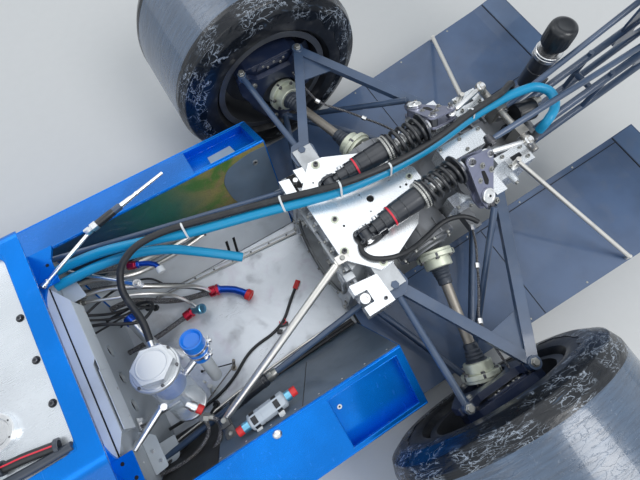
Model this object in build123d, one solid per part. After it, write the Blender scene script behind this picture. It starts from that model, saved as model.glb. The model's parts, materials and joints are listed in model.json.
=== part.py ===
from build123d import *
import math
import os

# Open wheel racing car with its engine and engine cover out.
# Millimetres. While modelling, x runs forward from the rear axle, y to the car's left, z up from the ground.

# Overall layout
wheelbase = 2620
front_overhang = 800
rear_overhang = 1010
ground_gap = 50
seat_gap = 0.3
run_gap = 5
pin_gap = 0.05

# Wheels
rear_tyre_r = 292
rear_tyre_w = 357
rear_wheel_y = 681.5
front_tyre_r = 255
front_tyre_w = 250
front_wheel_y = 700
rim_flange_r = 178
rim_seat_r = 168
rim_wall = 8
rim_inset = 20
rim_lip = 10
rim_web = 12
disc_r = 132
disc_w = 18
axle_r = 32
spindle_r = 20

# Tub and cowl
tub_rear_x = 745
tub_mid_x = wheelbase - 720
tub_front_x = wheelbase + 170
tub_floor_w = 190
tub_top_w = 311
tub_top_z = 372
tub_front_floor_w = 140
tub_front_top_w = 170
tub_front_top_z = 400
tub_wall = 35
tub_floor_t = 20
seat_back_x = 965
cowl_skin = 8
cowl_rear_x = 715
deck_w = 181
deck_z = 628
deck_front_x = 1010
cockpit_front_x = 1760
cockpit_w = 200

# Side pods and tunnels
pod_rear_x = 140
pod_front_x = 1850
pod_outer_y = 455
pod_outer_z = 285
pod_skin = 6
tunnel_skin = 4
tunnel_outer_y = 456
tunnel_inner_y = 150
tunnel_rear_x = -820

# Engine bay and gearbox
bay_floor_z = 55
bell_front_x = 148
bell_w = 150
bell_low_z = 80
bell_high_z = 425
plate_z = 436
plate_t = 6
case_w = 88
case_low_z = 140
case_high_z = 400
case_rear_x = -480
ear_low_z = 186
ear_high_z = 404
diff_x = -66
diff_z = 335
engine_bolt_y = 260
engine_bolt_z = 260
engine_bolt_r = 6

# Steering
kingpin_y = 595
arm_back = 105
rack_z = 340
rack_r = 11
rack_housing_r = 24
column_r = 10

nose_x = wheelbase + front_overhang
tail_x = -rear_overhang
shift_x = -(nose_x + tail_x) / 2
front_x = wheelbase
side_slope = (tub_top_w - tub_floor_w) / (tub_top_z - ground_gap)


def side_y(z):
    """Half width of the tub's slanted side at a height."""
    return tub_floor_w + (z - ground_gap) * side_slope


def rod(start, end, radius):
    run = Vector(*end) - Vector(*start)
    return extrude(Plane(origin=start, z_dir=run) * Circle(radius), run.length)


def bar(start, end, width, height):
    """Box-section tube with its width level and its height upright."""
    run = Vector(*end) - Vector(*start)
    across = Vector(0, 0, 1).cross(run)
    return extrude(Plane(origin=start, x_dir=across, z_dir=run) * Rectangle(width, height), run.length)


def pipe(start, end, radius, bore):
    return rod(start, end, radius) - rod(start, end, bore)


def block(low, high):
    size = [b - a for a, b in zip(low, high)]
    middle = [(a + b) / 2 for a, b in zip(low, high)]
    return Pos(*middle) * Box(*size)


def top_slab(outline, low_z, high_z, corner=0):
    face = Polygon(*outline, align=None)
    if corner:
        face = fillet(face.vertices(), corner)
    return extrude(Plane.XY.offset(low_z) * face, high_z - low_z, dir=(0, 0, 1))


def side_slab(outline, low_y, high_y, corner=0):
    face = Polygon(*outline, align=None)
    if corner:
        face = fillet(face.vertices(), corner)
    plane = Plane(origin=(0, high_y, 0), x_dir=(1, 0, 0), z_dir=(0, -1, 0))
    return extrude(plane * face, high_y - low_y, dir=(0, -1, 0))


def cross_face(x, outline, corner=0):
    face = Polygon(*outline, align=None)
    if corner:
        face = fillet(face.vertices(), corner)
    return Plane(origin=(x, 0, 0), x_dir=(0, 1, 0), z_dir=(1, 0, 0)) * face


def cross_slab(outline, low_x, high_x, corner=0):
    return extrude(cross_face(low_x, outline, corner), high_x - low_x, dir=(1, 0, 0))


def both(points):
    """A left half outline, and its mirror image joined to it."""
    return points + [(-y, z) for y, z in reversed(points)]


def body(sections, corner=0):
    """Straight-sided loft through (x, half outline) sections."""
    return loft([cross_face(x, both(half), corner) for x, half in sections], ruled=True)


def turned(profile, centre_y, x, z):
    """Solid of revolution about a wheel's axle, from (radius, outboard offset) points."""
    plane = Plane(origin=(x, centre_y, z), x_dir=(1, 0, 0), z_dir=(0, 0, 1))
    return revolve(plane * Polygon(*profile, align=None), Axis((x, centre_y, z), (0, 1, 0)))


def right_of(shape):
    return mirror(shape, about=Plane.XZ)


def hose(route, radius, bends):
    path = FilletPolyline(*route, radius=bends)
    start = Plane(origin=path @ 0, z_dir=path % 0)
    return sweep(start * Circle(radius), path=path)


def bend_radii(name, route):
    """Largest arcs that the route's runs allow, and a printed list of them."""
    points = [Vector(*p) for p in route]
    radii = []
    for before, corner, after in zip(points, points[1:], points[2:]):
        turn = math.radians((corner - before).get_angle(after - corner))
        shorter = min((corner - before).length, (after - corner).length)
        radii.append(0.45 * shorter / math.tan(turn / 2))
    print(name, "bend radii", [round(r) for r in radii])
    return radii


def save(name, *shapes):
    solids = [Pos(shift_x, 0, 0) * s for shape in shapes for s in shape.solids()]
    made = Compound(solids) if len(solids) > 1 else solids[0]
    export_step(made, f"parts/{name}.step")


# Wheels
def tyre(radius, width, centre_y, x):
    bead = rim_seat_r + seat_gap
    bead_w = width / 2 - rim_inset - rim_lip - seat_gap
    half = width / 2
    shoulder = 40
    edge = 10
    right = [
        (bead, bead_w), (rim_flange_r + 2, bead_w), (rim_flange_r + 12, half - 5), (rim_flange_r + 30, half),
        (radius - shoulder, half), (radius - edge, half - 14), (radius, half - shoulder),
    ]
    profile = right + [(r, -w) for r, w in reversed(right)]
    return turned(profile, centre_y, x, radius)


def rim(radius, width, centre_y, x, web_at, disc_at, hub_in, bore):
    """Barrel with flanges, pierced web, hub, and the brake disc on its bell."""
    half = width / 2 - rim_inset
    inner = rim_seat_r - rim_wall
    flange = rim_lip
    barrel = turned([
        (inner, -half), (rim_flange_r, -half), (rim_flange_r, -half + flange), (rim_seat_r, -half + flange),
        (rim_seat_r, half - flange), (rim_flange_r, half - flange), (rim_flange_r, half), (inner, half),
    ], centre_y, x, radius)
    web = turned([(bore, web_at), (inner + 1, web_at), (inner + 1, web_at + rim_web),
                  (bore, web_at + rim_web)],
                 centre_y, x, radius)
    spokes = 8
    window_r = 24
    window_pitch = 112
    for i in range(spokes):
        angle = 2 * math.pi * (i + 0.5) / spokes
        wx = x + window_pitch * math.cos(angle)
        wz = radius + window_pitch * math.sin(angle)
        web -= rod((wx, centre_y + web_at - 1, wz), (wx, centre_y + web_at + rim_web + 1, wz), window_r)
    bell_r = 70
    bell_wall = 8
    bell = turned([(bell_r - bell_wall, disc_at), (disc_r, disc_at), (disc_r, disc_at + disc_w),
                   (bell_r, disc_at + disc_w), (bell_r, web_at), (bell_r - bell_wall, web_at)],
                  centre_y, x, radius)
    hub_r = 46
    hub = turned([(bore, hub_in), (hub_r, hub_in), (hub_r, web_at), (bore, web_at)], centre_y, x, radius)
    nut_r = 36
    nut = turned([(0, web_at + rim_web), (nut_r, web_at + rim_web), (nut_r - 4, web_at + rim_web + 34),
                  (0, web_at + rim_web + 34)], centre_y, x, radius)
    return barrel, web + bell + hub + nut


def rear_wheel():
    web_at = 24
    disc_at = -92
    hub_in = -105
    barrel, centre = rim(rear_tyre_r, rear_tyre_w, rear_wheel_y, 0, web_at, disc_at, hub_in, 0)
    flange_y = 497
    stub = rod((0, flange_y, rear_tyre_r), (0, rear_wheel_y + hub_in, rear_tyre_r), axle_r - pin_gap)
    flange = rod((0, flange_y, rear_tyre_r), (0, flange_y + 6, rear_tyre_r), 50)
    nose = rod((0, shaft_outer[1] + 4.5, rear_tyre_r), (0, flange_y, rear_tyre_r), 14)
    return barrel + centre + stub + flange + nose


def front_wheel():
    web_at = 24
    disc_at = -58
    hub_in = -50
    barrel, centre = rim(front_tyre_r, front_tyre_w, front_wheel_y, front_x, web_at, disc_at, hub_in,
                         spindle_r)
    return barrel + centre


def wheels():
    for side, place in (("left", lambda s: s), ("right", right_of)):
        save(f"tyre_rear_{side}", place(tyre(rear_tyre_r, rear_tyre_w, rear_wheel_y, 0)))
        save(f"rim_rear_{side}", place(rear_wheel()))
        save(f"tyre_front_{side}", place(tyre(front_tyre_r, front_tyre_w, front_wheel_y, front_x)))
        save(f"rim_front_{side}", place(front_wheel()))


def caliper(x, z, y_low, y_high, disc_low, disc_high):
    """Brake caliper: a sector that straddles the disc behind the axle."""
    inner_r = 84
    outer_r = disc_r + 19
    gap_r = disc_r + run_gap
    side = 3
    profile = [(inner_r, y_low), (outer_r, y_low), (outer_r, y_high), (inner_r, y_high),
               (inner_r, disc_high + side), (gap_r, disc_high + side), (gap_r, disc_low - side),
               (inner_r, disc_low - side)]
    plane = Plane(origin=(x, 0, z), x_dir=(1, 0, 0), z_dir=(0, 0, 1))
    sector = revolve(plane * Polygon(*profile, align=None), Axis((x, 0, z), (0, 1, 0)), revolution_arc=52)
    return sector.rotate(Axis((x, 0, z), (0, 1, 0)), 154)


# Rear uprights, which carry the bearings of the rear wheels
def rear_upright():
    hub_z = rear_tyre_r
    body_low = 505
    body_high = 560
    frame = side_slab([(-55, 182), (48, 182), (86, 250), (108, 385), (85, 412), (-60, 416), (-88, 395),
                       (-115, 335),
                       (-115, 250), (-78, 240)], body_low, body_high, 6)
    ears = side_slab([(-60, ear_low_z), (40, ear_low_z), (118, 352), (120, ear_high_z), (84, ear_high_z),
                      (62, 386),
                      (-42, 386), (-54, ear_high_z), (-90, ear_high_z), (-86, 360)], 482, 498, 4)
    ears -= rod((0, 470, hub_z), (0, 510, hub_z), 58)
    whole = frame + ears + rod((0, body_low, hub_z), (0, body_high + 8, hub_z), 64)
    for sx, sz in ((-66, 384), (76, 370), (-36, 202), (22, 202)):
        whole += rod((sx, 498, sz), (sx, body_low, sz), 11)
    whole -= rod((0, body_low - 5, hub_z), (0, body_high + 20, hub_z), axle_r)
    disc_low = rear_wheel_y - 92
    return whole + caliper(0, hub_z, body_high, disc_low + disc_w + 24, disc_low, disc_low + disc_w)


shaft_inner = (diff_x - 6, 168, diff_z + 3)
shaft_outer = (0, 480, rear_tyre_r + 4)


def both_sides(make):
    left = make()
    return left, right_of(left)


def spun(start, end, profile):
    """Solid of revolution about the line from start to end, from (distance, radius) points."""
    outline = [(0, profile[0][0])] + [(r, d) for d, r in profile] + [(0, profile[-1][0])]
    made = revolve(Plane.XZ * Polygon(*outline, align=None), Axis.Z)
    return Plane(origin=start, z_dir=Vector(*end) - Vector(*start)) * made


shaft_r = 13


def drive_shaft():
    length = (Vector(*shaft_outer) - Vector(*shaft_inner)).length
    return spun(shaft_inner, shaft_outer, [
        (0, 43), (8, 43), (8, 48), (20, 48), (20, 34), (44, 34), (44, 21), (62, 21), (84, 16), (84, shaft_r),
        (length - 84, shaft_r), (length - 84, 16), (length - 62, 21), (length - 44, 21), (length - 44, 34),
        (length - 20, 34), (length - 20, 48), (length - 8, 48), (length - 8, 43), (length, 43),
    ])


# Rear links: wishbones, toe link, pushrod
def rear_links():
    eye_t = 19
    upper_z = ear_high_z + seat_gap
    x, y = -70, 490
    upper_apex = (x, y - 4, upper_z + 11)
    leg_w, leg_h = 25, 14
    rear_end = (-260, 136, 430)
    front_end = (92, 180, 418)
    upper = bar(upper_apex, rear_end, leg_w, leg_h) + bar(upper_apex, front_end, leg_w, leg_h)
    web_z = upper_apex[2] - 2
    web = [(upper_apex[0], upper_apex[1])]
    web += [(x + (end[0] - x) * 0.3, upper_apex[1] + (end[1] - upper_apex[1]) * 0.3) for end in (rear_end,
                                                                                                 front_end)]
    upper += top_slab(web, web_z, web_z + 4)
    upper += rod((x, y, upper_z), (x, y, upper_z + eye_t + 3), 15)
    toe = rod((103, y - 4, upper_z + 10), (88, 190, 418), 8)
    toe += rod((103, y, upper_z), (103, y, upper_z + eye_t), 12)
    lower_z = ear_low_z - seat_gap
    lower_apex = (-10, y - 6, lower_z - 10)
    lower = rod(lower_apex, (-270, 146, 214), 9.5) + rod(lower_apex, (100, 176, 150), 9.5)
    lower += rod((-10, y, lower_z - eye_t), (-10, y, lower_z), 16)
    lower += rod((-28, 463, 179), (-205, 172, 461), 8)
    inner_parts = [gearbox(), bell_housing(), gearbox_bracket(), rocker(), top_plate(), rear_upright()]
    made = []
    for link in (upper, lower, toe):
        for part in inner_parts:
            link = link - part
        made.append(max(link.solids(), key=lambda s: s.volume))
    return made


# Tub
def tub_section(x):
    """Half outline of the tub at a station between its rear and its front."""
    share = max(0, (x - tub_mid_x) / (tub_front_x - tub_mid_x))
    floor_w = tub_floor_w + share * (tub_front_floor_w - tub_floor_w)
    top_w = tub_top_w + share * (tub_front_top_w - tub_top_w)
    top_z = tub_top_z + share * (tub_front_top_z - tub_top_z)
    return [(floor_w, ground_gap), (top_w, top_z)]


def tub_solid():
    stations = (tub_rear_x, tub_mid_x, tub_front_x)
    return body([(x, tub_section(x)) for x in stations])


def tub():
    outer = tub_solid()
    hollow = []
    front_wall = 20
    for x in (seat_back_x, tub_mid_x, tub_front_x - front_wall):
        (floor_w, low), (top_w, top) = tub_section(x)
        slope = (top_w - floor_w) / (top - low)
        raised = floor_w + tub_floor_t * slope - tub_wall
        above = 60
        hollow.append((x, [(raised, low + tub_floor_t), (top_w + above * slope - tub_wall, top + above)]))
    outer -= body(hollow)
    rack_hole_r = rack_housing_r + seat_gap
    rack_x = front_x - arm_back
    return outer - rod((rack_x, -400, rack_z), (rack_x, 400, rack_z), rack_hole_r)


# Cockpit cowl: (station, (side width, side height), (shoulder), (top))
cowl_stations = [
    (620, (tub_top_w, tub_top_z), (272, 500), (216, deck_z + cowl_skin)),
    (deck_front_x, (tub_top_w, tub_top_z), (276, 500), (218, deck_z + cowl_skin)),
    (tub_mid_x, (tub_top_w, tub_top_z), (274, 480), (190, 575)),
    (tub_front_x, (tub_front_top_w, tub_front_top_z), (158, 440), (108, 466)),
]


def rounded(x, half, corner):
    """Section face with every corner above its lowest edge rounded."""
    face = Polygon(*both(half), align=None)
    low = min(z for y, z in half)
    face = fillet([v for v in face.vertices() if v.Y > low + 1], corner)
    return Plane(origin=(x, 0, 0), x_dir=(0, 1, 0), z_dir=(1, 0, 0)) * face


def cowl_solid(inset=0):
    corner = 24
    faces = []
    for x, side, shoulder, top in cowl_stations:
        half = [(side[0] - inset * 1.1, side[1]), (shoulder[0] - inset, shoulder[1] - inset * 0.3),
                (top[0] - inset * 0.7, top[1] - inset)]
        faces.append(rounded(x, half, corner - inset))
    return loft(faces, ruled=True)


cowl_back = [(668, 640), (764, 410)]


def cockpit_cowl():
    outer = cowl_solid()
    shell = outer - cowl_solid(cowl_skin)
    (top_x, top_z), (low_x, low_z) = cowl_back
    behind = side_slab([(500, 700), (top_x - 25, 700), (top_x, top_z), (low_x, low_z), (low_x, 300),
                        (500, 300)],
                       -400, 400)
    wall_t = 9
    wall = side_slab([(top_x - 25, 700), (top_x, top_z), (low_x, low_z), (low_x + wall_t, low_z),
                      (top_x + wall_t, top_z), (top_x + wall_t - 25, 700)], -400, 400) & outer
    shell = (shell - behind) + wall
    ledge = [(778, 115), (757, 183), (741, 215), (724, 247), (706, 288), (706, 294), (778, 294)]
    ledges = top_slab(ledge, low_z - 2.5, low_z + 5)
    shell += ledges + right_of(ledges)
    deck_hole = block((704, -deck_w, deck_z - 20), (deck_front_x - 30, deck_w, deck_z + 50))
    cockpit = top_slab([(1045, -cockpit_w), (cockpit_front_x, -cockpit_w), (cockpit_front_x, cockpit_w),
                        (1045, cockpit_w)], 420, 800, 70)
    return shell - deck_hole - cockpit


def deck_panel():
    rim = 8
    panel = block((704 - rim, -deck_w - rim, deck_z - 3), (deck_front_x - 30 + rim, deck_w + rim, deck_z))
    filler = (801, 95)
    neck_r = 29
    neck = rod((*filler, deck_z), (*filler, deck_z + 9), neck_r) - rod((*filler, deck_z + 3),
                                                                       (*filler, 700), 21)
    return panel + neck


def nose_cone():
    stations = [
        (tub_front_x, (tub_front_floor_w, ground_gap), (tub_front_top_w, tub_front_top_z), (108, 466)),
        (tub_front_x + 290, (112, 82), (132, 300), (86, 368)),
        (nose_x - 60, (84, 108), (96, 190), (62, 226)),
        (nose_x, (60, 128), (66, 172), (44, 190)),
    ]
    corner = 16
    return loft([rounded(x, list(half), corner) for x, *half in stations], ruled=True)


def aerofoil(lead, trail, upper, lower):
    """Closed wing section of two arcs, bulging by upper above and by lower below its chord."""
    (ax, az), (bx, bz) = lead, trail
    length = math.hypot(bx - ax, bz - az)
    nx, nz = (bz - az) / length, -(bx - ax) / length
    if nz < 0:
        nx, nz = -nx, -nz
    mx, mz = (ax + bx) / 2, (az + bz) / 2
    front = 0.18 * (ax - bx)
    over = ThreePointArc(lead, (mx + front + nx * upper, mz + nz * upper), trail)
    under = ThreePointArc(trail, (mx + front + nx * lower, mz + nz * lower), lead)
    return make_face([over, under])


def wing_span(face, low_y, high_y):
    plane = Plane(origin=(0, high_y, 0), x_dir=(1, 0, 0), z_dir=(0, -1, 0))
    return extrude(plane * face, high_y - low_y, dir=(0, -1, 0))


def front_wing():
    inner_y = 60
    tip_y = 836
    plate_t2 = 5
    main = wing_span(aerofoil((-90, 120), (-360, 150), 10, -26), inner_y, tip_y)
    flap = wing_span(aerofoil((-345, 178), (-470, 236), 8, -12), 190, tip_y)
    end = side_slab([(-70, 62), (-70, 150), (-240, 210), (-480, 275), (-480, 62)], tip_y, tip_y + plate_t2,
                    12)
    brackets = side_slab([(-340, 136), (-340, 190), (-400, 215), (-430, 215), (-430, 145)], 400, 404)
    return Pos(nose_x, 0, 0) * (main + end + flap + brackets) - nose_cone()


# Side pods: shells of inner wall, top and outer wall
def pod_outline(outer_y, outer_z):
    skin = pod_skin
    face_gap = seat_gap
    lean = skin * 1.1
    return [(side_y(ground_gap + 5) + face_gap, ground_gap + 5), (tub_top_w + face_gap, tub_top_z),
            (outer_y, outer_z), (outer_y, ground_gap), (outer_y - skin, ground_gap),
            (outer_y - skin, outer_z - 4), (tub_top_w + lean, tub_top_z - skin * 1.2),
            (side_y(ground_gap + 5) + lean + 2, ground_gap + 5)]


def sidepod():
    stations = [(pod_rear_x, pod_outer_y, pod_outer_z), (1400, pod_outer_y, pod_outer_z),
                (pod_front_x, 440, 290)]
    shell = loft([cross_face(x, pod_outline(oy, oz)) for x, oy, oz in stations], ruled=True)
    recess_front = 341
    recess_depth = 34
    slope = (pod_outer_z - tub_top_z) / (pod_outer_y - tub_top_w)
    top_at = lambda y: tub_top_z + (y - tub_top_w) * slope
    low_y, high_y = 325, 444
    floor = [(low_y, top_at(low_y) - recess_depth), (high_y, top_at(high_y) - recess_depth)]
    lid = [(high_y, 420), (low_y, 420)]
    cut = cross_slab(floor + lid, pod_rear_x + 16, recess_front)
    skin = pod_skin
    tray_floor = [(low_y - skin, floor[0][1] - skin), (high_y + skin, floor[1][1] - skin)]
    tray_top = [(high_y + skin, top_at(high_y + skin) - 3), (low_y - skin, top_at(low_y - skin) - 3)]
    tray = cross_slab(tray_floor + tray_top, pod_rear_x + 10, recess_front + skin)
    return (shell + tray) - cut


def tunnel_roof_profile():
    """Roof heights along the tunnel, front to rear."""
    return [(pod_front_x, 175), (1480, 104), (900, 76), (400, 82), (0, 102), (-726, 268),
            (tunnel_rear_x, 300)]


def tunnel_z(x):
    """Height of the rear tunnel's roof."""
    return 102 - 0.2287 * x


def tunnel():
    line = tunnel_roof_profile()
    under = [(x, z - tunnel_skin) for x, z in reversed(line)]
    roof = side_slab(line + under, tunnel_inner_y, tunnel_outer_y)
    cavity = [(side_y(ground_gap + 5) + pod_skin * 1.1 + 2.6, ground_gap + 5),
              (tub_top_w + pod_skin * 1.1 + 0.6, tub_top_z - pod_skin * 1.2 - 1),
              (pod_outer_y - pod_skin - seat_gap, pod_outer_z - 5),
              (pod_outer_y - pod_skin - seat_gap, ground_gap + 5)]
    under_pod = roof & cross_slab(cavity, pod_rear_x - 1, 1395)
    rear = roof & block((tunnel_rear_x - 1, 0, 0), (pod_rear_x - seat_gap, 500, 500))
    rear_line = [(pod_rear_x - seat_gap, 95), (0, 102), (-726, 268), (tunnel_rear_x, 300)]
    skirt = rear_line + [(tunnel_rear_x, ground_gap + 90), (-600, ground_gap),
                         (pod_rear_x - seat_gap, ground_gap)]
    outer = side_slab(skirt, tunnel_outer_y - tunnel_skin, tunnel_outer_y)
    inner = side_slab(skirt, tunnel_inner_y, tunnel_inner_y + tunnel_skin)
    return under_pod + rear + outer + inner


def radiator():
    core = side_slab([(1250, 110), (1310, 110), (1390, 350), (1330, 350)], 150, 460)
    cavity = [(side_y(112) + pod_skin * 1.1 + 3, 112), (tub_top_w + pod_skin * 1.1 + 1,
                                                        tub_top_z - pod_skin * 1.2 - 2),
              (pod_outer_y - pod_skin - 1, pod_outer_z - 6), (pod_outer_y - pod_skin - 1, 112)]
    return core & cross_slab(cavity, 1200, 1395)


# Engine bay
shelf_w = 278


def rear_bulkhead():
    front = tub_rear_x
    skin = 8
    top = 400
    low = ground_gap + 5
    plate = cross_slab(both([(side_y(low), low), (tub_top_w, tub_top_z), (285, top)]), front - skin, front)
    rail_top = 400
    rail = block((front - skin - 12, -150, 352), (front - skin, 156, rail_top))
    rail += block((front - skin - 3, -146, 300), (front - skin, 152, 352))
    shelf = block((front, -shelf_w, rail_top), (front + 70, shelf_w, rail_top + 7))
    made = plate + rail + shelf
    for y in (-55, 20, 94):
        made -= rod((front - 30, y, 245), (front + 1, y, 245), 16)
    return made


def engine_bay_floor():
    thick = 5
    tongue_x = 60
    tongue_w = tunnel_inner_y - seat_gap
    floor = block((pod_rear_x, -tub_floor_w, ground_gap), (tub_rear_x - 8, tub_floor_w, ground_gap + thick))
    tongue = block((tongue_x, -tongue_w, ground_gap), (pod_rear_x, tongue_w, ground_gap + thick))
    lip = block((tongue_x, -tongue_w, ground_gap + thick), (tongue_x + 4, tongue_w, ground_gap + thick + 22))
    return floor + tongue + lip


def bell_housing():
    rear_x = 20
    outer = loft([cross_face(bell_front_x, both([(bell_w, bell_low_z), (bell_w, 380),
                                                 (bell_w - 30, bell_high_z)])),
                  cross_face(rear_x, both([(case_w + 14, case_low_z - 30), (case_w + 14, 380),
                                           (case_w - 20, 418)]))],
                 ruled=True)
    clutch_r = 112
    clutch_z = 220
    outer -= rod((bell_front_x - 96, 0, clutch_z), (bell_front_x + 1, 0, clutch_z), clutch_r)
    for sy in (-1, 1):
        for sz in (-1, 1):
            y = sy * engine_bolt_y / 2
            z = (bell_low_z + bell_high_z) / 2 + sz * engine_bolt_z / 2
            outer -= rod((bell_front_x - 30, y, z), (bell_front_x + 1, y, z), engine_bolt_r)
    lug = block((80, bell_w - 20, 262), (bell_front_x - 2, 220, 302))
    tower = block((62, 96, 394), (112, 206, plate_z))
    foot = block((84, 120, 136), (116, 192, 164))
    lugs = lug + tower + foot
    return outer + lugs + right_of(lugs)


def top_plate():
    half = [(157, 91), (96, 157), (60, 154), (-39, 110), (-88, 52), (-117, 15)]
    outline = half + [(x, -y) for x, y in reversed(half)]
    plate = top_slab(outline, plate_z, plate_z + plate_t)
    plate -= rod((20, 0, plate_z - 1), (20, 0, plate_z + plate_t + 1), 9)
    for y in (-75, 75):
        plate -= block((14, y - 11, plate_z - 1), (62, y + 11, plate_z + plate_t + 1))
    for x, y in ((134, 80), (134, -80), (84, 138), (84, -138), (-20, 96), (-20, -96)):
        plate += rod((x, y, bell_high_z - 8 if x > 100 else 400), (x, y, plate_z), 9)
    return plate - bell_housing() - gearbox()


def gearbox():
    case = cross_slab(both([(58, case_low_z), (case_w, 190), (case_w, 366), (58, case_high_z)]), -300, 20)
    tail = cross_slab(both([(50, 170), (74, 210), (74, 360), (50, case_high_z - 4)]), case_rear_x, -300)
    cover = cross_slab(both([(40, 200), (62, 230), (62, 340), (40, 380)]), case_rear_x - 22, case_rear_x)
    sides = rod((diff_x, -tunnel_inner_y, diff_z), (diff_x, tunnel_inner_y, diff_z), 78)
    shaft_y = shaft_inner[1] - 4
    shafts = rod((diff_x - 6, -shaft_y, diff_z + 3), (diff_x - 6, shaft_y, diff_z + 3), 14)
    breather = rod((-455, 62, 380), (-455, 62, 436), 9)
    lug = block((-286, 70, 200), (-254, 160, 228))
    return case + tail + cover + sides + shafts + breather + lug + right_of(lug) - bell_housing()


def selector_cover():
    return top_slab([(-188, -24), (-320, -24), (-320, 24), (-188, 24)], case_high_z, 450, 5)


rocker_pivot = Vector(-201, 134, 458)
rocker_up = Vector(-0.141, 0.604, 0.784)


def gearbox_bracket():
    """Machined block on the side of the case, with the pivot post of the rocker."""
    post_r = 15
    front = block((-252, case_w, 318), (-150, case_w + 28, 414))
    rear = block((-380, case_w, 330), (-290, case_w + 32, 452)) - block((-310, case_w - 1, 420),
                                                                        (-289, 200, 470))
    base = rocker_pivot - rocker_up * 62
    post = rod(tuple(base), tuple(rocker_pivot - rocker_up * 14.3), post_r)
    link = block((-292, case_w, 330), (-250, case_w + 14, 400))
    foot = block((-380, 70, 398), (-290, case_w, 452))
    arm_lug = block((-276, case_w + 2, 396), (-244, 148, 440))
    return front + rear + post + link + foot + arm_lug - gearbox() - rocker()


def rocker():
    plane = Plane(origin=rocker_pivot, z_dir=rocker_up)
    ends = [Vector(-188, 63, 515), Vector(-245, 64, 504), Vector(-205, 166, 462)]
    spots = [plane.to_local_coords(p) for p in ends]
    face = make_hull(
        (Circle(20).edges() + (Pos(spots[0].X, spots[0].Y) * Circle(13)).edges()
         + (Pos(spots[1].X, spots[1].Y) * Circle(11)).edges() + (Pos(spots[2].X,
                                                                     spots[2].Y) * Circle(12)).edges()))
    low = extrude(plane.offset(-14) * face, 5)
    high = extrude(plane.offset(9) * face, 5)
    cap = rod(tuple(rocker_pivot - rocker_up * 9), tuple(rocker_pivot + rocker_up * 22), 17)
    made = low + high + cap
    for spot, r in zip(spots, (6, 5, 6)):
        made += extrude(plane.offset(-18) * Pos(spot.X, spot.Y) * Circle(r), 36)
    return made


damper_front = (86, 75, 463)
damper_rear = (-188, 63, 515)
coil_start = 160
coil_end = 248


def damper():
    length = (Vector(*damper_rear) - Vector(*damper_front)).length
    body_part = spun(damper_front, damper_rear, [
        (12, 10), (24, 10), (24, 17), (46, 17), (46, 22), (66, 22), (66, 25), (76, 25), (78, 24), (146, 26),
        (146, 32), (152, 32), (152, 30), (155, 30), (155, 32), (coil_start, 32), (coil_start, 12),
        (coil_end, 12),
        (coil_end, 30), (coil_end + 6, 30), (coil_end + 8, 15), (length - 14, 9),
    ])
    x, y, z = damper_front
    eye = rod((x, y - 8, z), (x, y + 8, z), 13)
    clevis = block((x - 14, y - 15, plate_z + plate_t), (x + 14, y - 8.3, z + 12))
    clevis2 = block((x - 14, y + 8.3, plate_z + plate_t), (x + 14, y + 15, z + 12))
    pin = rod((x, y - 19, z), (x, y + 19, z), 5)
    x, y, z = damper_rear
    rear_eye = rod(tuple(Vector(x, y, z) - rocker_up * 8.5), tuple(Vector(x, y, z) + rocker_up * 8.5), 11)
    return body_part + eye + clevis + clevis2 + pin + rear_eye - rocker()


def spring():
    """Coils joined by their inner sleeve."""
    start = Vector(*damper_front)
    run = (Vector(*damper_rear) - start).normalized()
    made = pipe(tuple(start + run * (coil_start + seat_gap)), tuple(start + run * (coil_end - seat_gap)),
                22, 18)
    wire_r = 4
    coils = 6
    pitch = (coil_end - coil_start - 2 * wire_r - 2) / (coils - 1)
    for number in range(coils):
        middle = start + run * (coil_start + wire_r + 1 + pitch * number)
        coil = revolve(Plane.XZ * Pos(25, 0) * Circle(wire_r), Axis.Z)
        made += Plane(origin=middle, z_dir=run) * coil
    return made


def anti_roll_bar():
    bar_z = 442
    bar_x = -402
    bar = rod((bar_x, -104, bar_z), (bar_x, 104, bar_z), 9)
    feet = block((bar_x - 14, 30, 392), (bar_x + 14, 54, bar_z + 14))
    arm = rod((bar_x, 96, bar_z), (-354, 88, 504), 6) + rod((-354, 78, 504), (-354, 98, 504), 9)
    link = rod((-354, 88, 504), (-245, 64, 504), 4.5)
    side = arm + link
    return (bar + feet + right_of(feet) + side + right_of(side)) - rocker() - right_of(rocker()) - gearbox()


def bay_space():
    """The space between the pods' inner walls."""
    low = ground_gap + 5
    return cross_slab(both([(side_y(low), low), (tub_top_w, tub_top_z)]), pod_rear_x, tub_rear_x - 8)


def engine_bay_stay():
    rear = (168, 92, 434)
    front = (560, 240, 296)
    lug = block((140, 80, plate_z + plate_t), (172, 100, plate_z + plate_t + 4))
    bar = rod(rear, front, 9)
    foot = block((546, 232, 286), (574, 300, 304)) & bay_space()
    return bar + lug + foot


def tunnel_stay():
    stud = rod((-325, 108, 452), (-325, 108, 476), 6)
    foot = rod((-561, 448, tunnel_z(-561)), (-561, 448, 250), 5)
    return rod((-325, 108, 466), (-561, 448, 245), 6) + stud + foot - tunnel() - gearbox_bracket()


# Rear wing and its frame
def wing_frame():
    y = 38
    tube_r = 10
    tubes = [((case_rear_x - 8, y, 372), (-960, y, 560)), ((case_rear_x - 8, y, 240), (-960, y, 452))]
    made = None
    for start, end in tubes:
        bar = rod(start, end, tube_r)
        made = bar if made is None else made + bar
    made += rod((-700, y, 325), (-700, y, 475), 7)
    post = side_slab([(-985, 440), (-985, 846), (-800, 846), (-780, 520), (-800, 440)], y - 3, y + 3, 10)
    for z, half in ((490, 45), (600, 45), (700, 40)):
        post -= rod((-885, y - 5, z), (-885, y + 5, z), half - 8)
    made += post
    crossbar = rod((-960, -y, 560), (-960, y, 560), 8)
    return made + right_of(made) + crossbar + rod((-700, -y, 398), (-700, y, 398), 8) - gearbox()


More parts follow.
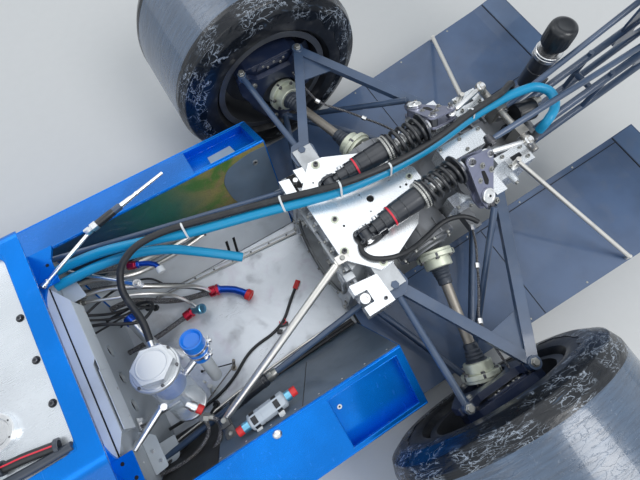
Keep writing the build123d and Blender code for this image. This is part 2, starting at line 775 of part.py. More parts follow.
def rear_wing():
    half_span = 500
    main = wing_span(aerofoil((-740, 858), (-960, 880), 12, -26), -half_span, half_span)
    flap = wing_span(aerofoil((-935, 905), (tail_x + 4, 990), 8, -14), -half_span, half_span)
    end = side_slab([(-700, 760), (-700, 930), (-860, 1010), (tail_x, 1010), (tail_x, 700), (-800, 700)],
                    half_span, half_span + 5, 14)
    return main + flap + end + right_of(end) - wing_frame()


def breather_canister():
    x, y = -568, -84
    body_part = spun((x, y, 392), (x, y, 606), [
        (0, 28), (104, 28), (104, 34), (122, 34), (122, 25), (150, 25), (150, 36), (156, 38), (206, 38),
        (214, 32)])
    bracket = block((x - 12, y + 20, 420), (x + 12, -49, 440)) + block((x - 12, -49, 395),
                                                                       (x + 12, -45, 440))
    return body_part + bracket - wing_frame()


# Engine bay equipment
tank_top = (608, 80, 452)
tank_low = (628, 166, 205)


def catch_tank():
    made = spun(tank_top, tank_low, [(16, 43), (16, 52), (26, 52), (26, 42), (240, 42), (262, 30)])
    run = Vector(*tank_low) - Vector(*tank_top)
    cap = extrude(Plane(origin=tank_top, x_dir=(0, 0.9, -0.3), z_dir=run) * RegularPolygon(45, 6), 17)
    strap = block((tank_low[0], 140, 250), (tub_rear_x - 8, 148, 275))
    port = rod((612, 84, 392), (604.04, 20.3, 399.96), 9)
    return made + cap + strap + port


def tank_and_pipe():
    tank = catch_tank()
    return [tank, stand_pipe() - tank]


def stand_pipe():
    made = spun((528, 62, 400), (541, 114, 250), [(0, 26), (60, 26), (60, 27), (74, 27), (74, 24), (150, 24),
                                                  (205, 20)])
    return made + rod((534, 86, 330), (618, 122, 330), 8)


def fuel_filter():
    start = (538, 281, 345)
    end = (388, 270, 345)
    made = spun(start, end, [(0, 9), (18, 9), (18, 13), (32, 13), (32, 19), (122, 19), (122, 13), (136, 13),
                             (136, 9), (152, 9)])
    clamp = block((430, 270, 338), (444, 310, 352)) + block((486, 270, 338), (500, 310, 352))
    return made + (clamp & bay_space())


def sidepod_right():
    return right_of(sidepod())


def bay_rods():
    """Gear linkage and lines that run along both sides of the bay."""
    side = -tub_top_w
    shift = rod((734, side + 33, 385), (146, -134, 398), 7)
    brace = rod((734, 236, 215), (146, 180, 284), 8)
    link = rod((740, -262.8, 368), (582, -125, 368), 5) + rod((582, -125, 360), (582, -125, 376), 9)
    throttle = rod((750, -206, 421), (600, side + 29, 421), 4) + rod((600, side + 29, 421),
                                                                     (530, side + 11, 420), 9)
    throttle += rod((530, side + 11, 420), (410, side - 20, 418), 3.5)
    throttle += rod((750, -206, 415.3), (750, -206, 426), 6)
    parts = (shift, brace, link, throttle)
    return [rod_part - bell_housing() - rear_bulkhead() - sidepod_right() for rod_part in parts]


long_hose_route = [
    (736.7, -240, 392), (700, -240, 392), (612, -221, 412), (495, -178, 425), (419, -147, 432),
    (328, -119, 442),
    (260, -96, 455), (172, -65, 468), (82, -38, 477), (-39, -22, 482), (-160, -22, 483), (-296, -40, 483),
    (-422, -42, 482), (-496, -30, 480), (-522, 4, 478), (-500, 44, 476), (-459, 62, 470), (-455, 62, 436),
]
short_hose_route = [
    (737, -205, 392), (670, -205, 392), (606, -201, 388), (541, -188, 382), (478, -160, 377),
    (426, -122, 372),
    (378, -88, 362), (342, -62, 350),
]
hose_r = 11.5


# Black breather hose, tied along the long hose and then round to the catch tank's port
breather_route = [
    (-464, -66, 350), (-464, -66, 420), (-458, -67, 468), (-434, -65, 494), (-394, -48, 504),
    (-296, -43, 504),
    (-160, -24, 504), (-39, -24, 504), (82, -42, 503), (172, -78, 484), (260, -111, 470), (328, -134, 457),
    (412, -160, 450),
    (478, -174, 450), (540, -174, 447), (588, -154, 432), (610, -112, 412), (606, -70, 408), (598, -28, 406),
    (604, 20, 400),
]
breather_r = 8
# Braided lines and the wiring, free on the bay's floor
line_r = 5.5
long_line_route = [
    (736.7, -206, 112), (692, -206, 112), (645, -186, 96), (600, -160, 76), (550, -138, 66), (505, -127, 65),
    (462, -116, 66),
]
short_line_route = [
    (736.7, -62, 124), (694, -62, 124), (652, -67, 104), (618, -77, 82), (588, -84, 71), (560, -87, 70),
]
loom_r = 4.5
loom_route = [
    (248, 6, 60), (278, 30, 60), (322, 72, 60), (372, 90, 60), (425, 92, 60), (470, 104, 60), (520, 136, 60),
    (578, 158, 60), (640, 166, 62), (692, 169, 80), (736.7, 169, 80),
]


def line_fittings():
    """End fittings of the two braided lines and the plug of the wiring."""
    made = []
    for route, bend, end in ((long_line_route, (403, -84, 66), (374, -40, 68)),
                             (short_line_route, (534, -84, 84), (512, -76, 106))):
        start = Vector(*route[-1])
        nut_end = start + (start - Vector(*route[-2])).normalized() * 20
        elbow = rod(tuple(nut_end), bend, 6) + rod(bend, end, 6) + Pos(*bend) * Sphere(6)
        last = Vector(*end) - Vector(*bend)
        cap = rod(tuple(Vector(*end) - last.normalized() * 16), end, 9)
        made.append(rod(tuple(start), tuple(nut_end), 9.5) + elbow + cap)
    x, y, z = loom_route[0]
    run = Vector(*loom_route[0]) - Vector(*loom_route[1])
    plug = extrude(Plane(origin=(x, y, z + 1), x_dir=Vector(0, 0, 1).cross(run), z_dir=run) * Rectangle(16,
        11), 28)
    made.append(plug)
    return made


def hoses():
    save("water_hose", hose(long_hose_route, hose_r, bend_radii("water hose", long_hose_route)) - gearbox())
    save("vent_hose", hose(short_hose_route, hose_r, bend_radii("vent hose", short_hose_route)))
    save("breather_hose", hose(breather_route, breather_r, bend_radii("breather hose",
                                                                      breather_route)) - gearbox())
    save("fuel_line_long", hose(long_line_route, line_r, bend_radii("long line", long_line_route)))
    save("fuel_line_short", hose(short_line_route, line_r, bend_radii("short line", short_line_route)))
    save("wiring_loom", hose(loom_route, loom_r, bend_radii("wiring", loom_route)))
    save("line_fittings", *line_fittings())


# Cockpit
def roll_hoop():
    r = 19
    x = 1012
    foot_y = 158
    shoulder_z = 800
    top_z = 950
    path = FilletPolyline((x, -foot_y, deck_z + cowl_skin), (x, -foot_y, shoulder_z), (x, -70, top_z),
                          (x, 70, top_z), (x, foot_y, shoulder_z), (x, foot_y, deck_z + cowl_skin),
                          radius=[60, 60, 60, 60])
    start = Plane(origin=path @ 0, z_dir=path % 0)
    hoop = sweep(start * Circle(r), path=path)
    feet = block((x - 28, foot_y - 30, deck_z + cowl_skin), (x + 28, foot_y + 30, deck_z + cowl_skin + 6))
    return hoop + feet + right_of(feet)


def seat():
    width = 148
    t = 12
    line = [(985, 590), (1010, 420), (1075, 160), (1130, ground_gap + tub_floor_t + t),
            (1330, ground_gap + tub_floor_t + t), (1480, 130)]
    under = [(1480, 118), (1334, ground_gap + tub_floor_t), (1122, ground_gap + tub_floor_t), (1062, 154),
             (998, 418), (973, 590)]
    shell = side_slab(line + under, -width, width)
    wing = side_slab([(985, 590), (1010, 420), (1075, 160), (1130, 82), (1330, 82), (1480, 130), (1480, 170),
                      (1330, 150), (1180, 170), (1110, 300), (1060, 470), (1030, 590)], width - t, width)
    return shell + wing + right_of(wing)


column_low = (wheelbase - 130, 0, 362)
column_top = (cockpit_front_x - 70, 0, 515)
dash_ahead = 122
screen_ahead = 82


def column_at(x):
    """Point on the steering column's axis."""
    share = (x - column_top[0]) / (column_low[0] - column_top[0])
    return (x, 0, column_top[2] + share * (column_low[2] - column_top[2]))


def dash():
    x = column_top[0] + dash_ahead
    outer = cross_slab(both([(288, tub_top_z), (262, 480), (178, 560)]), x, x + 6)
    inner = cross_slab(both([(246, tub_top_z - 1), (236, 440), (150, 470)]), x - 1, x + 7)
    plate = (outer - inner) & cowl_solid(cowl_skin)
    web = block((x, -30, 462), (x + 6, 30, 500))
    plate += web
    bush_r = column_r + 8
    plate += rod(column_at(x - 12), column_at(x + 20), bush_r)
    plate -= rod(column_at(x - 40), column_at(x + 60), column_r + pin_gap)
    for y, z, r in ((-130, 498, 27), (-62, 528, 21), (62, 528, 21), (130, 498, 27)):
        plate += rod((x, y, z), (x - 14, y, z), r)
    return plate


def pedals():
    made = []
    low = ground_gap + tub_floor_t
    for y in (-75, 0, 75):
        lever = side_slab([(-20, low + 2), (-4, low + 2), (-30, 250), (-46, 250)], y - 5, y + 5)
        pad = side_slab([(-48, 190), (-42, 190), (-48, 262), (-54, 262)], y - 26, y + 26)
        made.append(lever + pad)
    base = block((-40, -100, low), (20, 100, low + 6))
    for pedal in made:
        base += pedal
    return Pos(wheelbase, 0, 0) * base


def steering_wheel():
    run = Vector(*column_low) - Vector(*column_top)
    plane = Plane(origin=column_top, x_dir=(0, 1, 0), z_dir=run)
    wheel_r = 122
    rim_part = plane * revolve(Plane.XZ * Pos(wheel_r, 0) * Circle(12), Axis.Z)
    spokes = extrude(plane.offset(-3) * (Rectangle(2 * wheel_r - 4, 26) + Pos(0,
        -wheel_r / 2) * Rectangle(26, wheel_r - 4)), 6)
    hub = extrude(plane.offset(-8) * Circle(32), 26)
    return rim_part + spokes + hub


def steering_column():
    start = Vector(*column_top) + (Vector(*column_low) - Vector(*column_top)).normalized() * 18
    return rod(tuple(start), column_low, column_r)


def rack_housing():
    x = front_x - arm_back
    tube = rod((x, -218, rack_z), (x, 218, rack_z), rack_housing_r)
    tube -= rod((x, -230, rack_z), (x, 230, rack_z), rack_r + pin_gap)
    pinion = block((x - 30, -22, rack_z - 26), (x + 26, 22, rack_z + 40)) - rod((x, -30, rack_z),
                                                                                (x, 30, rack_z), 20)
    pinion -= rod(column_at(x - 60), column_at(x + 20), column_r + pin_gap)
    return tube + pinion


eye_half = 9


def steering_rack():
    x = front_x - arm_back
    end_y = 580
    bar = rod((x, -262, rack_z), (x, 262, rack_z), rack_r)
    track = rod((x, 262, rack_z), (x, end_y, rack_z), 7)
    eye = rod((x, end_y, rack_z - eye_half), (x, end_y, rack_z + eye_half), 13)
    return bar + track + eye + right_of(track + eye)


# Front suspension
def knuckle():
    x = front_x
    hub_z = front_tyre_r
    frame = side_slab([(x - 36, 132), (x + 36, 132), (x + 46, 200), (x + 42, 310), (x + 26, 378),
                       (x - 26, 378),
                       (x - 60, 330), (x - 115, 300), (x - 115, 215), (x - 50, 195)], 585, 612, 6)
    boss = rod((x, 612, hub_z), (x, 636, hub_z), 40)
    spindle = rod((x, 636, hub_z), (x, front_wheel_y + 24 + 10, hub_z), spindle_r - pin_gap)
    pins = rod((x, kingpin_y, 98), (x, kingpin_y, 132), 8) + rod((x, kingpin_y, 378), (x, kingpin_y, 406), 8)
    collars = rod((x, kingpin_y, 127), (x, kingpin_y, 132), 14) + rod((x, kingpin_y, 378),
                                                                      (x, kingpin_y, 382), 14)
    arm_low = rack_z + eye_half + 0.5
    arm = top_slab([(x - 30, 585), (x - 30, 612), (x - arm_back + 4, 594), (x - arm_back - 14, 590),
                    (x - arm_back - 14, 568), (x - arm_back + 8, 566)], arm_low, arm_low + 11, 4)
    disc_low = front_wheel_y - 58
    return (frame + boss + spindle + pins + collars + arm
            + caliper(x, hub_z, 612, disc_low + disc_w + 24, disc_low, disc_low + disc_w))


def front_links():
    x = front_x
    tub_part = tub_solid()
    cowl_part = cowl_solid()
    bore = 8 + pin_gap
    upper_z = 394
    lower_z = 112
    upper = rod((x - 4, kingpin_y - 12, upper_z), (x - 190, 150, 370), 9)
    upper += rod((x + 4, kingpin_y - 12, upper_z), (x + 120, 150, 370), 9)
    upper += rod((x, kingpin_y, upper_z - 6.5), (x, kingpin_y, upper_z + 6.5), 16)
    upper -= rod((x, kingpin_y, 300), (x, kingpin_y, 500), bore)
    lower = rod((x - 4, kingpin_y - 12, lower_z), (x - 180, 100, 105), 9.5)
    lower += rod((x + 4, kingpin_y - 12, lower_z), (x + 140, 100, 105), 9.5)
    lower += rod((x, kingpin_y, lower_z - 7), (x, kingpin_y, lower_z + 7), 17)
    lower -= rod((x, kingpin_y, 60), (x, kingpin_y, 200), bore)
    push = rod((x, 545, lower_z), (x, 120, 360), 8)
    made = [(part - tub_part) - cowl_part for part in (upper, lower + push)]
    return [max(part.solids(), key=lambda s: s.volume) for part in made]


def front_link_solids():
    left = front_links()
    return left + [right_of(s) for s in left]


def windscreen():
    base_x = column_top[0] + screen_ahead
    ahead = [(0, 196), (78, 188), (128, 150), (153, 80), (160, 0)]
    outline = [(base_x + x, y) for x, y in ahead]
    ring = outline + [(x, -y) for x, y in reversed(outline[:-1])]
    hole = [(x - 5, y * 0.97) for x, y in outline]
    hole = hole + [(x, -y) for x, y in reversed(hole[:-1])]
    back_x = base_x - 72
    screen = top_slab(ring, 540, 720) - top_slab([(back_x, 190)] + hole + [(back_x, -190)], 530, 730)
    rake = side_slab([(back_x, 760), (back_x, 640), (base_x, 660), (base_x + 168, 690), (base_x + 218, 500),
                      (base_x + 328, 760)], -300, 300)
    return screen - rake - cowl_solid()


def mirror_piece():
    x = cockpit_front_x - 48
    pod = block((x - 22, 330, 640), (x + 18, 480, 712))
    pod = fillet(pod.edges().filter_by(Axis.Y), 12)
    stalk = rod((x, 345, 648), (x, 245, 520), 8)
    return pod + (stalk - cowl_solid())


def save_all():
    os.makedirs("parts", exist_ok=True)
    wheels()
    save("rear_uprights", *both_sides(rear_upright))
    save("drive_shaft_left", drive_shaft())
    save("drive_shaft_right", right_of(drive_shaft()))
    links = rear_links()
    save("rear_links", *links, *[right_of(s) for s in links])
    save("tub", tub())
    save("cockpit_cowl", cockpit_cowl())
    save("deck_panel", deck_panel())
    save("nose_cone", nose_cone())
    save("front_wings", *both_sides(front_wing))
    save("sidepods", *both_sides(sidepod))
    save("tunnels", *both_sides(tunnel))
    save("radiators", *both_sides(radiator))
    save("rear_bulkhead", rear_bulkhead())
    save("engine_bay_floor", engine_bay_floor())
    save("bell_housing", bell_housing())
    save("top_plate", top_plate(), selector_cover())
    save("gearbox", gearbox())
    save("gearbox_brackets", *both_sides(gearbox_bracket))
    save("rockers", *both_sides(rocker))
    save("dampers", *both_sides(damper))
    save("springs", *both_sides(spring))
    save("anti_roll_bar", anti_roll_bar())
    save("engine_bay_stays", *both_sides(engine_bay_stay))
    save("tunnel_stays", *both_sides(tunnel_stay))
    save("wing_frame", wing_frame())
    save("rear_wing", rear_wing())
    save("breather_canister", breather_canister())
    save("catch_tank", *tank_and_pipe())
    save("fuel_filter", fuel_filter())
    save("bay_rods", *bay_rods())
    hoses()
    save("roll_hoop", roll_hoop())
    save("seat", seat())
    save("dash", dash())
    save("pedals", pedals())
    save("steering_wheel", steering_wheel())
    save("steering_column", steering_column())
    save("rack_housing", rack_housing())
    save("steering_rack", steering_rack())
    save("knuckle_left", knuckle())
    save("knuckle_right", right_of(knuckle()))
    save("front_links", *front_link_solids())
    save("windscreen", windscreen())
    save("mirrors", *both_sides(mirror_piece))


save_all()
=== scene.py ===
import json
import math

import bmesh
import bpy
from mathutils import Matrix, Vector, noise


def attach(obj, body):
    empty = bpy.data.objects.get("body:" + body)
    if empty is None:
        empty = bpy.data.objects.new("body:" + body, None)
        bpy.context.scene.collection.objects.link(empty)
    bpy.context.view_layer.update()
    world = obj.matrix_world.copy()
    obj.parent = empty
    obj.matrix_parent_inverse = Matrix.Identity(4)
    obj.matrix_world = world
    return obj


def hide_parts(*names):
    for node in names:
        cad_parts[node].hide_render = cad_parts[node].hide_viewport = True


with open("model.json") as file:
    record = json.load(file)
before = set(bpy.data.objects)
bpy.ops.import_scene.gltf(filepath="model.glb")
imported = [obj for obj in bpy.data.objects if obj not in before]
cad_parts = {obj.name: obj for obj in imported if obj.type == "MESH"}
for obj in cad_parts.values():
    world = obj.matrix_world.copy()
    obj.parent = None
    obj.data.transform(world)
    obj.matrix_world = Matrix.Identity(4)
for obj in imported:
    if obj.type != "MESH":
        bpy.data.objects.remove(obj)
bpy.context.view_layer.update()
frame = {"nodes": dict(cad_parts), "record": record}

print("frame loaded:", len(frame["nodes"]), "nodes")
carShift = -1.205          # the rear axle's place along the car, in metres


def at(x, y, z):           # a point given in millimetres from the rear axle's line and the ground
    return Vector((x / 1000 + carShift, y / 1000, z / 1000))


# materials

def feed(socket, value):
    if isinstance(value, Wire):
        socket.id_data.links.new(value.socket, socket)
    elif hasattr(socket.default_value, "__len__") and len(socket.default_value) == 4 and len(value) == 3:
        socket.default_value = (*value, 1.0)
    else:
        socket.default_value = value


class Wire:                # a socket that takes part in sums
    def __init__(self, socket):
        self.socket = socket

    def maths(self, operation, first, second):
        node = self.socket.id_data.nodes.new("ShaderNodeMath")
        node.operation = operation
        feed(node.inputs[0], first)
        feed(node.inputs[1], second)
        return Wire(node.outputs[0])

    def __add__(self, other):
        return self.maths("ADD", self, other)

    def __radd__(self, other):
        return self.maths("ADD", other, self)

    def __sub__(self, other):
        return self.maths("SUBTRACT", self, other)

    def __rsub__(self, other):
        return self.maths("SUBTRACT", other, self)

    def __mul__(self, other):
        return self.maths("MULTIPLY", self, other)

    def __rmul__(self, other):
        return self.maths("MULTIPLY", other, self)

    def most(self, other):
        return self.maths("MAXIMUM", self, other)


class Finish:
    def __init__(self, name, colour, rough, metal=0.0, coat=0.0, specular=0.5):
        self.material = bpy.data.materials.new(name)
        self.material.use_nodes = True
        self.material.diffuse_color = (*colour, 1.0)
        self.tree = self.material.node_tree
        self.shader = self.tree.nodes["Principled BSDF"]
        self.place = Wire(self.tree.nodes.new("ShaderNodeTexCoord").outputs["Object"])
        self.height = None
        plain = {"Base Color": colour, "Roughness": rough, "Metallic": metal, "Coat Weight": coat,
                 "Coat Roughness": 0.06, "Specular IOR Level": specular}
        for key, value in plain.items():
            self.set(key, value)

    def set(self, key, value):
        feed(self.shader.inputs[key], value)

    def node(self, kind, settings, values, out=0):
        made = self.tree.nodes.new("ShaderNode" + kind)
        for key, value in settings.items():
            setattr(made, key, value)
        for key, value in values.items():
            feed(made.inputs[key], value)
        return Wire(made.outputs[out])

    def spots(self, scale, detail=3.0, stretch=(1, 1, 1), turn=(0, 0, 0), warp=0.0):
        place = self.node("Mapping", {}, {"Vector": self.place, "Scale": stretch, "Rotation": turn})
        return self.node("TexNoise", {}, {"Vector": place, "Scale": scale, "Detail": detail,
                                          "Distortion": warp})

    def cells(self, scale, stretch=(1, 1, 1)):
        place = self.node("Mapping", {}, {"Vector": self.place, "Scale": stretch})
        return self.node("TexVoronoi", {"feature": "F1"}, {"Vector": place, "Scale": scale})

    def edge(self, value, low, high):      # 0 below low, 1 above high
        return self.node("MapRange", {"interpolation_type": "SMOOTHSTEP"},
                         {"Value": value, "From Min": low, "From Max": high})

    def patch(self, scale, detail, low, high, stretch=(1, 1, 1), turn=(0, 0, 0), warp=0.0):
        return self.edge(self.spots(scale, detail, stretch, turn, warp), low, high)

    def blend(self, share, first, second):
        return self.node("Mix", {"data_type": "RGBA"}, {0: share, 6: first, 7: second}, 2)

    def rimWear(self, radius, low=0.02, high=0.3):     # 1 on convex and concave edges, 0 on flats
        plain = self.node("NewGeometry", {}, {}, 1)
        round_ = self.node("Bevel", {"samples": 4}, {"Radius": radius})
        match = self.node("VectorMath", {"operation": "DOT_PRODUCT"}, {0: plain, 1: round_}, 1)
        return self.edge(1 - match, low, high)

    def relief(self, height):      # heights are in metres, and they add up
        self.height = height if self.height is None else self.height + height

    def done(self, soften=0.0):
        normal = {"Normal": self.node("Bevel", {"samples": 4}, {"Radius": soften})} if soften else {}
        if self.height is not None:
            normal = {"Normal": self.node("Bump", {}, {"Strength": 1.0, "Distance": 1.0,
                                                       "Height": self.height, **normal})}
        for key, value in normal.items():
            self.set(key, value)
        return self.material


def shade(colour, share, lift=0.0):      # a colour made darker, paler or greyer
    return tuple(min(1.0, c * share + lift) for c in colour)


bodyPaint = {"colour": (0.002, 0.215, 0.78), "dust": 0.02, "shine": 0.45}
metalTones = {"polished": (0.84, 0.87, 0.90), "dull": (0.72, 0.73, 0.75), "plate": (0.84, 0.86, 0.88)}
darkPaint = {"arms": (0.040, 0.070, 0.130), "chip": (0.36, 0.33, 0.30), "panels": (0.054, 0.096, 0.185),
             "rub": (0.3, 0.3, 0.3)}
# paintedSheen is a painted reflection colour and paintedGlint a painted highlight colour, both put into the
# film's base colour
film = {"colour": (0.014, 0.026, 0.050), "paintedSheen": (0.085, 0.15, 0.25), "dark": (0.004, 0.006, 0.010),
        "paintedGlint": (0.42, 0.47, 0.54), "dusty": (0.07, 0.085, 0.11), "wrinkle": 0.0011}
oilTone = (0.16, 0.14, 0.11)


def paintedBody(name, colour, dust):
    f = Finish(name, colour, 0.2, bodyPaint["shine"], 0.06, 0.16)
    flake = f.cells(2600)
    cloud = f.spots(5)
    tone = f.blend(f.edge(cloud, 0.35, 0.65), shade(colour, 0.86), shade(colour, 1.12))
    grime = f.patch(38, 8, 0.54, 0.78) * dust
    marks = f.patch(90, 3, 0.66, 0.71, (1, 0.06, 1), (0, 0, 0.4)) * 0.12
    rub = f.rimWear(0.0015, 0.03, 0.3) * f.patch(60, 5, 0.5, 0.62)
    tone = f.blend(grime + marks * 0.4, tone, (0.30, 0.42, 0.52))
    f.set("Base Color", f.blend(rub * 0.7, tone, (0.5, 0.72, 0.9)))
    f.set("Roughness", 0.2 + flake * 0.12 + grime * 0.9 + marks * 0.4)
    f.relief(cloud * 0.0004 + f.spots(260, 2) * 0.000012)
    return f.done(0.002)


def sheet(name, colour, rough, scratch, dirt, metal=1.0):
    f = Finish(name, colour, rough, metal)
    along = f.spots(60, 6, (1, 14, 14))
    across = f.spots(34, 6, (11, 1, 9), (0, 0, 0.9))
    fine = f.patch(150, 4, 0.6, 0.68, (1, 26, 26), (0, 0, 0.35))
    cloud = f.patch(9, 6, 0.3, 0.72)
    overlay = f.patch(12, 7, 0.52, 0.8, warp=0.3) * dirt
    f.set("Base Color", f.blend(overlay, f.blend(cloud, shade(colour, 0.86), colour), oilTone))
    f.set("Metallic", metal - overlay * (metal * 0.7))
    f.set("Roughness", rough + along * 0.14 + cloud * 0.1 + overlay * 0.3 - fine * 0.12)
    f.relief(along * scratch + across * scratch * 0.7 + fine * scratch * 1.5)
    return f.done(0.0012)


def coated(name, colour, rough, chip, wear, coat=0.0, grit=0.00004, dust=0.25):
    f = Finish(name, colour, rough, 0.0, coat)
    rub = f.rimWear(0.0015) * f.patch(70, 6, 0.5, 0.62) * wear
    dirt = f.patch(24, 7, 0.5, 0.75) * dust
    tone = f.blend(f.patch(8, 3, 0.3, 0.7), colour, shade(colour, 1.35, 0.004))
    tone = f.blend(dirt, tone, shade(colour, 0.6, 0.09))
    f.set("Base Color", f.blend(rub, tone, chip))
    f.set("Metallic", rub * 0.9)
    f.set("Roughness", rough + dirt * 0.5 - rub * 0.1 + f.spots(110, 3) * 0.08)
    f.relief(f.spots(420, 3) * grit)
    return f.done(0.0015)


def floorSheet(name):      # dull sheet with oil marks, rubbed streaks and faint colour
    f = Finish(name, metalTones["dull"], 0.4, 1.0)
    cloud = f.patch(7, 7, 0.34, 0.68, warp=0.6)
    oil = f.patch(15, 8, 0.55, 0.78, warp=0.3)
    tint = f.patch(11, 5, 0.55, 0.72, warp=1.0) * 0.25
    scuff = f.patch(70, 5, 0.58, 0.66, (1, 16, 16), (0, 0, 0.5))
    tone = f.blend(tint, f.blend(cloud, (0.60, 0.63, 0.67), (0.76, 0.79, 0.83)), (0.55, 0.45, 0.56))
    f.set("Base Color", f.blend(oil * 0.35, tone, (0.16, 0.14, 0.13)))
    f.set("Metallic", 0.6 - oil * 0.3)
    f.set("Roughness", 0.34 + cloud * 0.14 + oil * 0.15 - scuff * 0.1)
    f.relief(cloud * 0.0004 + scuff * 0.00003 + f.spots(40, 4) * 0.00012)
    return f.done(0.001)


def castMetal(name, colour, rough, grit, oil):
    f = Finish(name, colour, rough, 0.75)
    grain = f.spots(520, 5)
    oily = f.patch(13, 7, 0.46, 0.72, warp=0.8) * oil
    tone = f.blend(oily, f.blend(grain, shade(colour, 0.7), colour), (0.035, 0.028, 0.02))
    f.set("Base Color", f.blend(f.rimWear(0.002) * 0.6, tone, (0.6, 0.6, 0.6)))
    f.set("Roughness", rough + grain * 0.15 - oily * 0.22)
    f.relief(grain * grit)
    return f.done(0.002)


def machined(name, colour, rough, oil=0.25, metal=0.9, soften=0.0012):
    f = Finish(name, colour, rough, metal)
    lines = f.spots(240, 3, (1, 24, 1))
    smear = f.patch(15, 7, 0.52, 0.78, warp=1.0) * oil
    tone = f.blend(smear, colour, shade(colour, 0.25))
    f.set("Base Color", f.blend(f.rimWear(0.0012) * 0.5, tone, (0.93, 0.93, 0.93)))
    f.set("Roughness", rough + lines * 0.14 + smear * 0.1)
    f.relief(lines * 0.000008 + f.spots(60, 4) * 0.000008)
    return f.done(soften)


def anodised(name, colour):
    f = Finish(name, colour, 0.24, 0.85, 0.3)
    lines = f.spots(300, 3, (24, 1, 1))
    rub = f.rimWear(0.0008, 0.03, 0.3) * f.patch(120, 4, 0.46, 0.6)
    f.set("Base Color", f.blend(rub, f.blend(f.spots(30, 4), shade(colour, 0.7), colour), (0.8, 0.8, 0.82)))
    f.set("Roughness", 0.24 + lines * 0.12)
    f.relief(lines * 0.000006)
    return f.done(0.0006)


def rubber(name, colour, rough, dust=0.3, coat=0.0):
    f = Finish(name, colour, rough, 0.0, coat, 0.45)
    powder = f.patch(46, 8, 0.48, 0.8) * dust
    f.set("Base Color", f.blend(powder, colour, shade(colour, 0.5, 0.12)))
    f.set("Roughness", rough + powder * 0.4 + f.spots(70, 4) * 0.1)
    f.relief(f.spots(300, 4) * 0.00006 + f.spots(30, 3) * 0.0004)
    return f.done(0.001)


def braid(name):           # woven steel sleeve
    f = Finish(name, (0.5, 0.5, 0.52), 0.35, 0.9)
    knots = f.edge(f.cells(620), 0.15, 0.55)
    tone = f.blend(knots, (0.62, 0.62, 0.64), (0.10, 0.10, 0.11))
    f.set("Base Color", f.blend(f.patch(40, 5, 0.5, 0.7) * 0.4, tone, (0.2, 0.17, 0.13)))
    f.set("Roughness", 0.3 + knots * 0.3 + f.spots(900, 1) * 0.3)
    f.relief(knots * -0.0005)
    return f.done()


def slickTread(name):
    f = Finish(name, (0.022, 0.022, 0.023), 0.62, 0.0, 0.0, 0.35)
    grain = f.spots(60, 8, (1, 0.25, 1))
    dust = f.patch(22, 8, 0.42, 0.8) * 0.35
    f.set("Base Color", f.blend(dust, f.blend(grain, (0.014, 0.014, 0.015), (0.04, 0.039, 0.038)),
                                (0.16, 0.15, 0.14)))
    f.set("Roughness", 0.5 + grain * 0.2 + dust * 0.3)
    f.relief(grain * 0.0016 - f.edge(f.cells(220), 0.0, 0.4) * 0.0002)
    return f.done(0.004)


def stretchFilm(name):     # dark film wound round a tyre, its fine glossy wrinkles run round it
    f = Finish(name, film["colour"], 0.2, 0.0, 0.5, 0.8)
    streak = f.spots(170, 4, (0.10, 1.0, 0.10), (0, 0, 0), 0.5)
    broad = f.spots(46, 5, (0.3, 1.0, 0.3), (0, 0, 0.2), 0.8)
    crease = f.patch(60, 5, 0.48, 0.52, (0.5, 1.2, 0.5), (0, 0, 0.5), 1.2)
    dull = f.patch(6, 6, 0.45, 0.75, warp=0.8)
    # the streaks take a painted sheen: a bluish reflection of the sky painted into the base colour
    f.set("Base Color", f.blend(dull * 0.4, f.blend(streak, film["colour"], film["paintedSheen"]), film["dusty"]))
    f.set("Roughness", 0.22 + dull * 0.22 + streak * 0.1)
    f.relief((broad + streak * 0.55 + crease * 0.25) * film["wrinkle"])
    return f.done()


def crumpledFilm(name):      # the same film where it is gathered on the shoulder: its creases glint
    f = Finish(name, film["dark"], 0.26, 0.0, 0.1, 0.4)
    streak = f.spots(150, 4, (0.16, 1.0, 0.16), (0, 0, 0), 0.7)
    leaf = f.spots(44, 6, (0.42, 1.5, 0.42), (0, 0, 0.5), 1.3)
    second = f.spots(70, 5, (0.30, 1.4, 0.30), (0, 0, 0.2), 0.9)
    crease = f.edge(leaf, 0.500, 0.512) * f.edge(leaf, 0.530, 0.516)
    crease = crease.most(f.edge(second, 0.500, 0.515) * f.edge(second, 0.535, 0.518) * 0.7)
    # a painted sheen along the streaks and painted glints on the creases: highlights painted into the base
    # colour
    tone = f.blend(f.edge(streak, 0.62, 0.74) * 0.35, film["dark"], film["paintedSheen"])
    f.set("Base Color", f.blend(crease * f.patch(13, 5, 0.44, 0.56), tone, film["paintedGlint"]))
    f.set("Roughness", 0.20 + streak * 0.18)
    f.relief(leaf * 0.0022 + streak * 0.0006)
    return f.done()


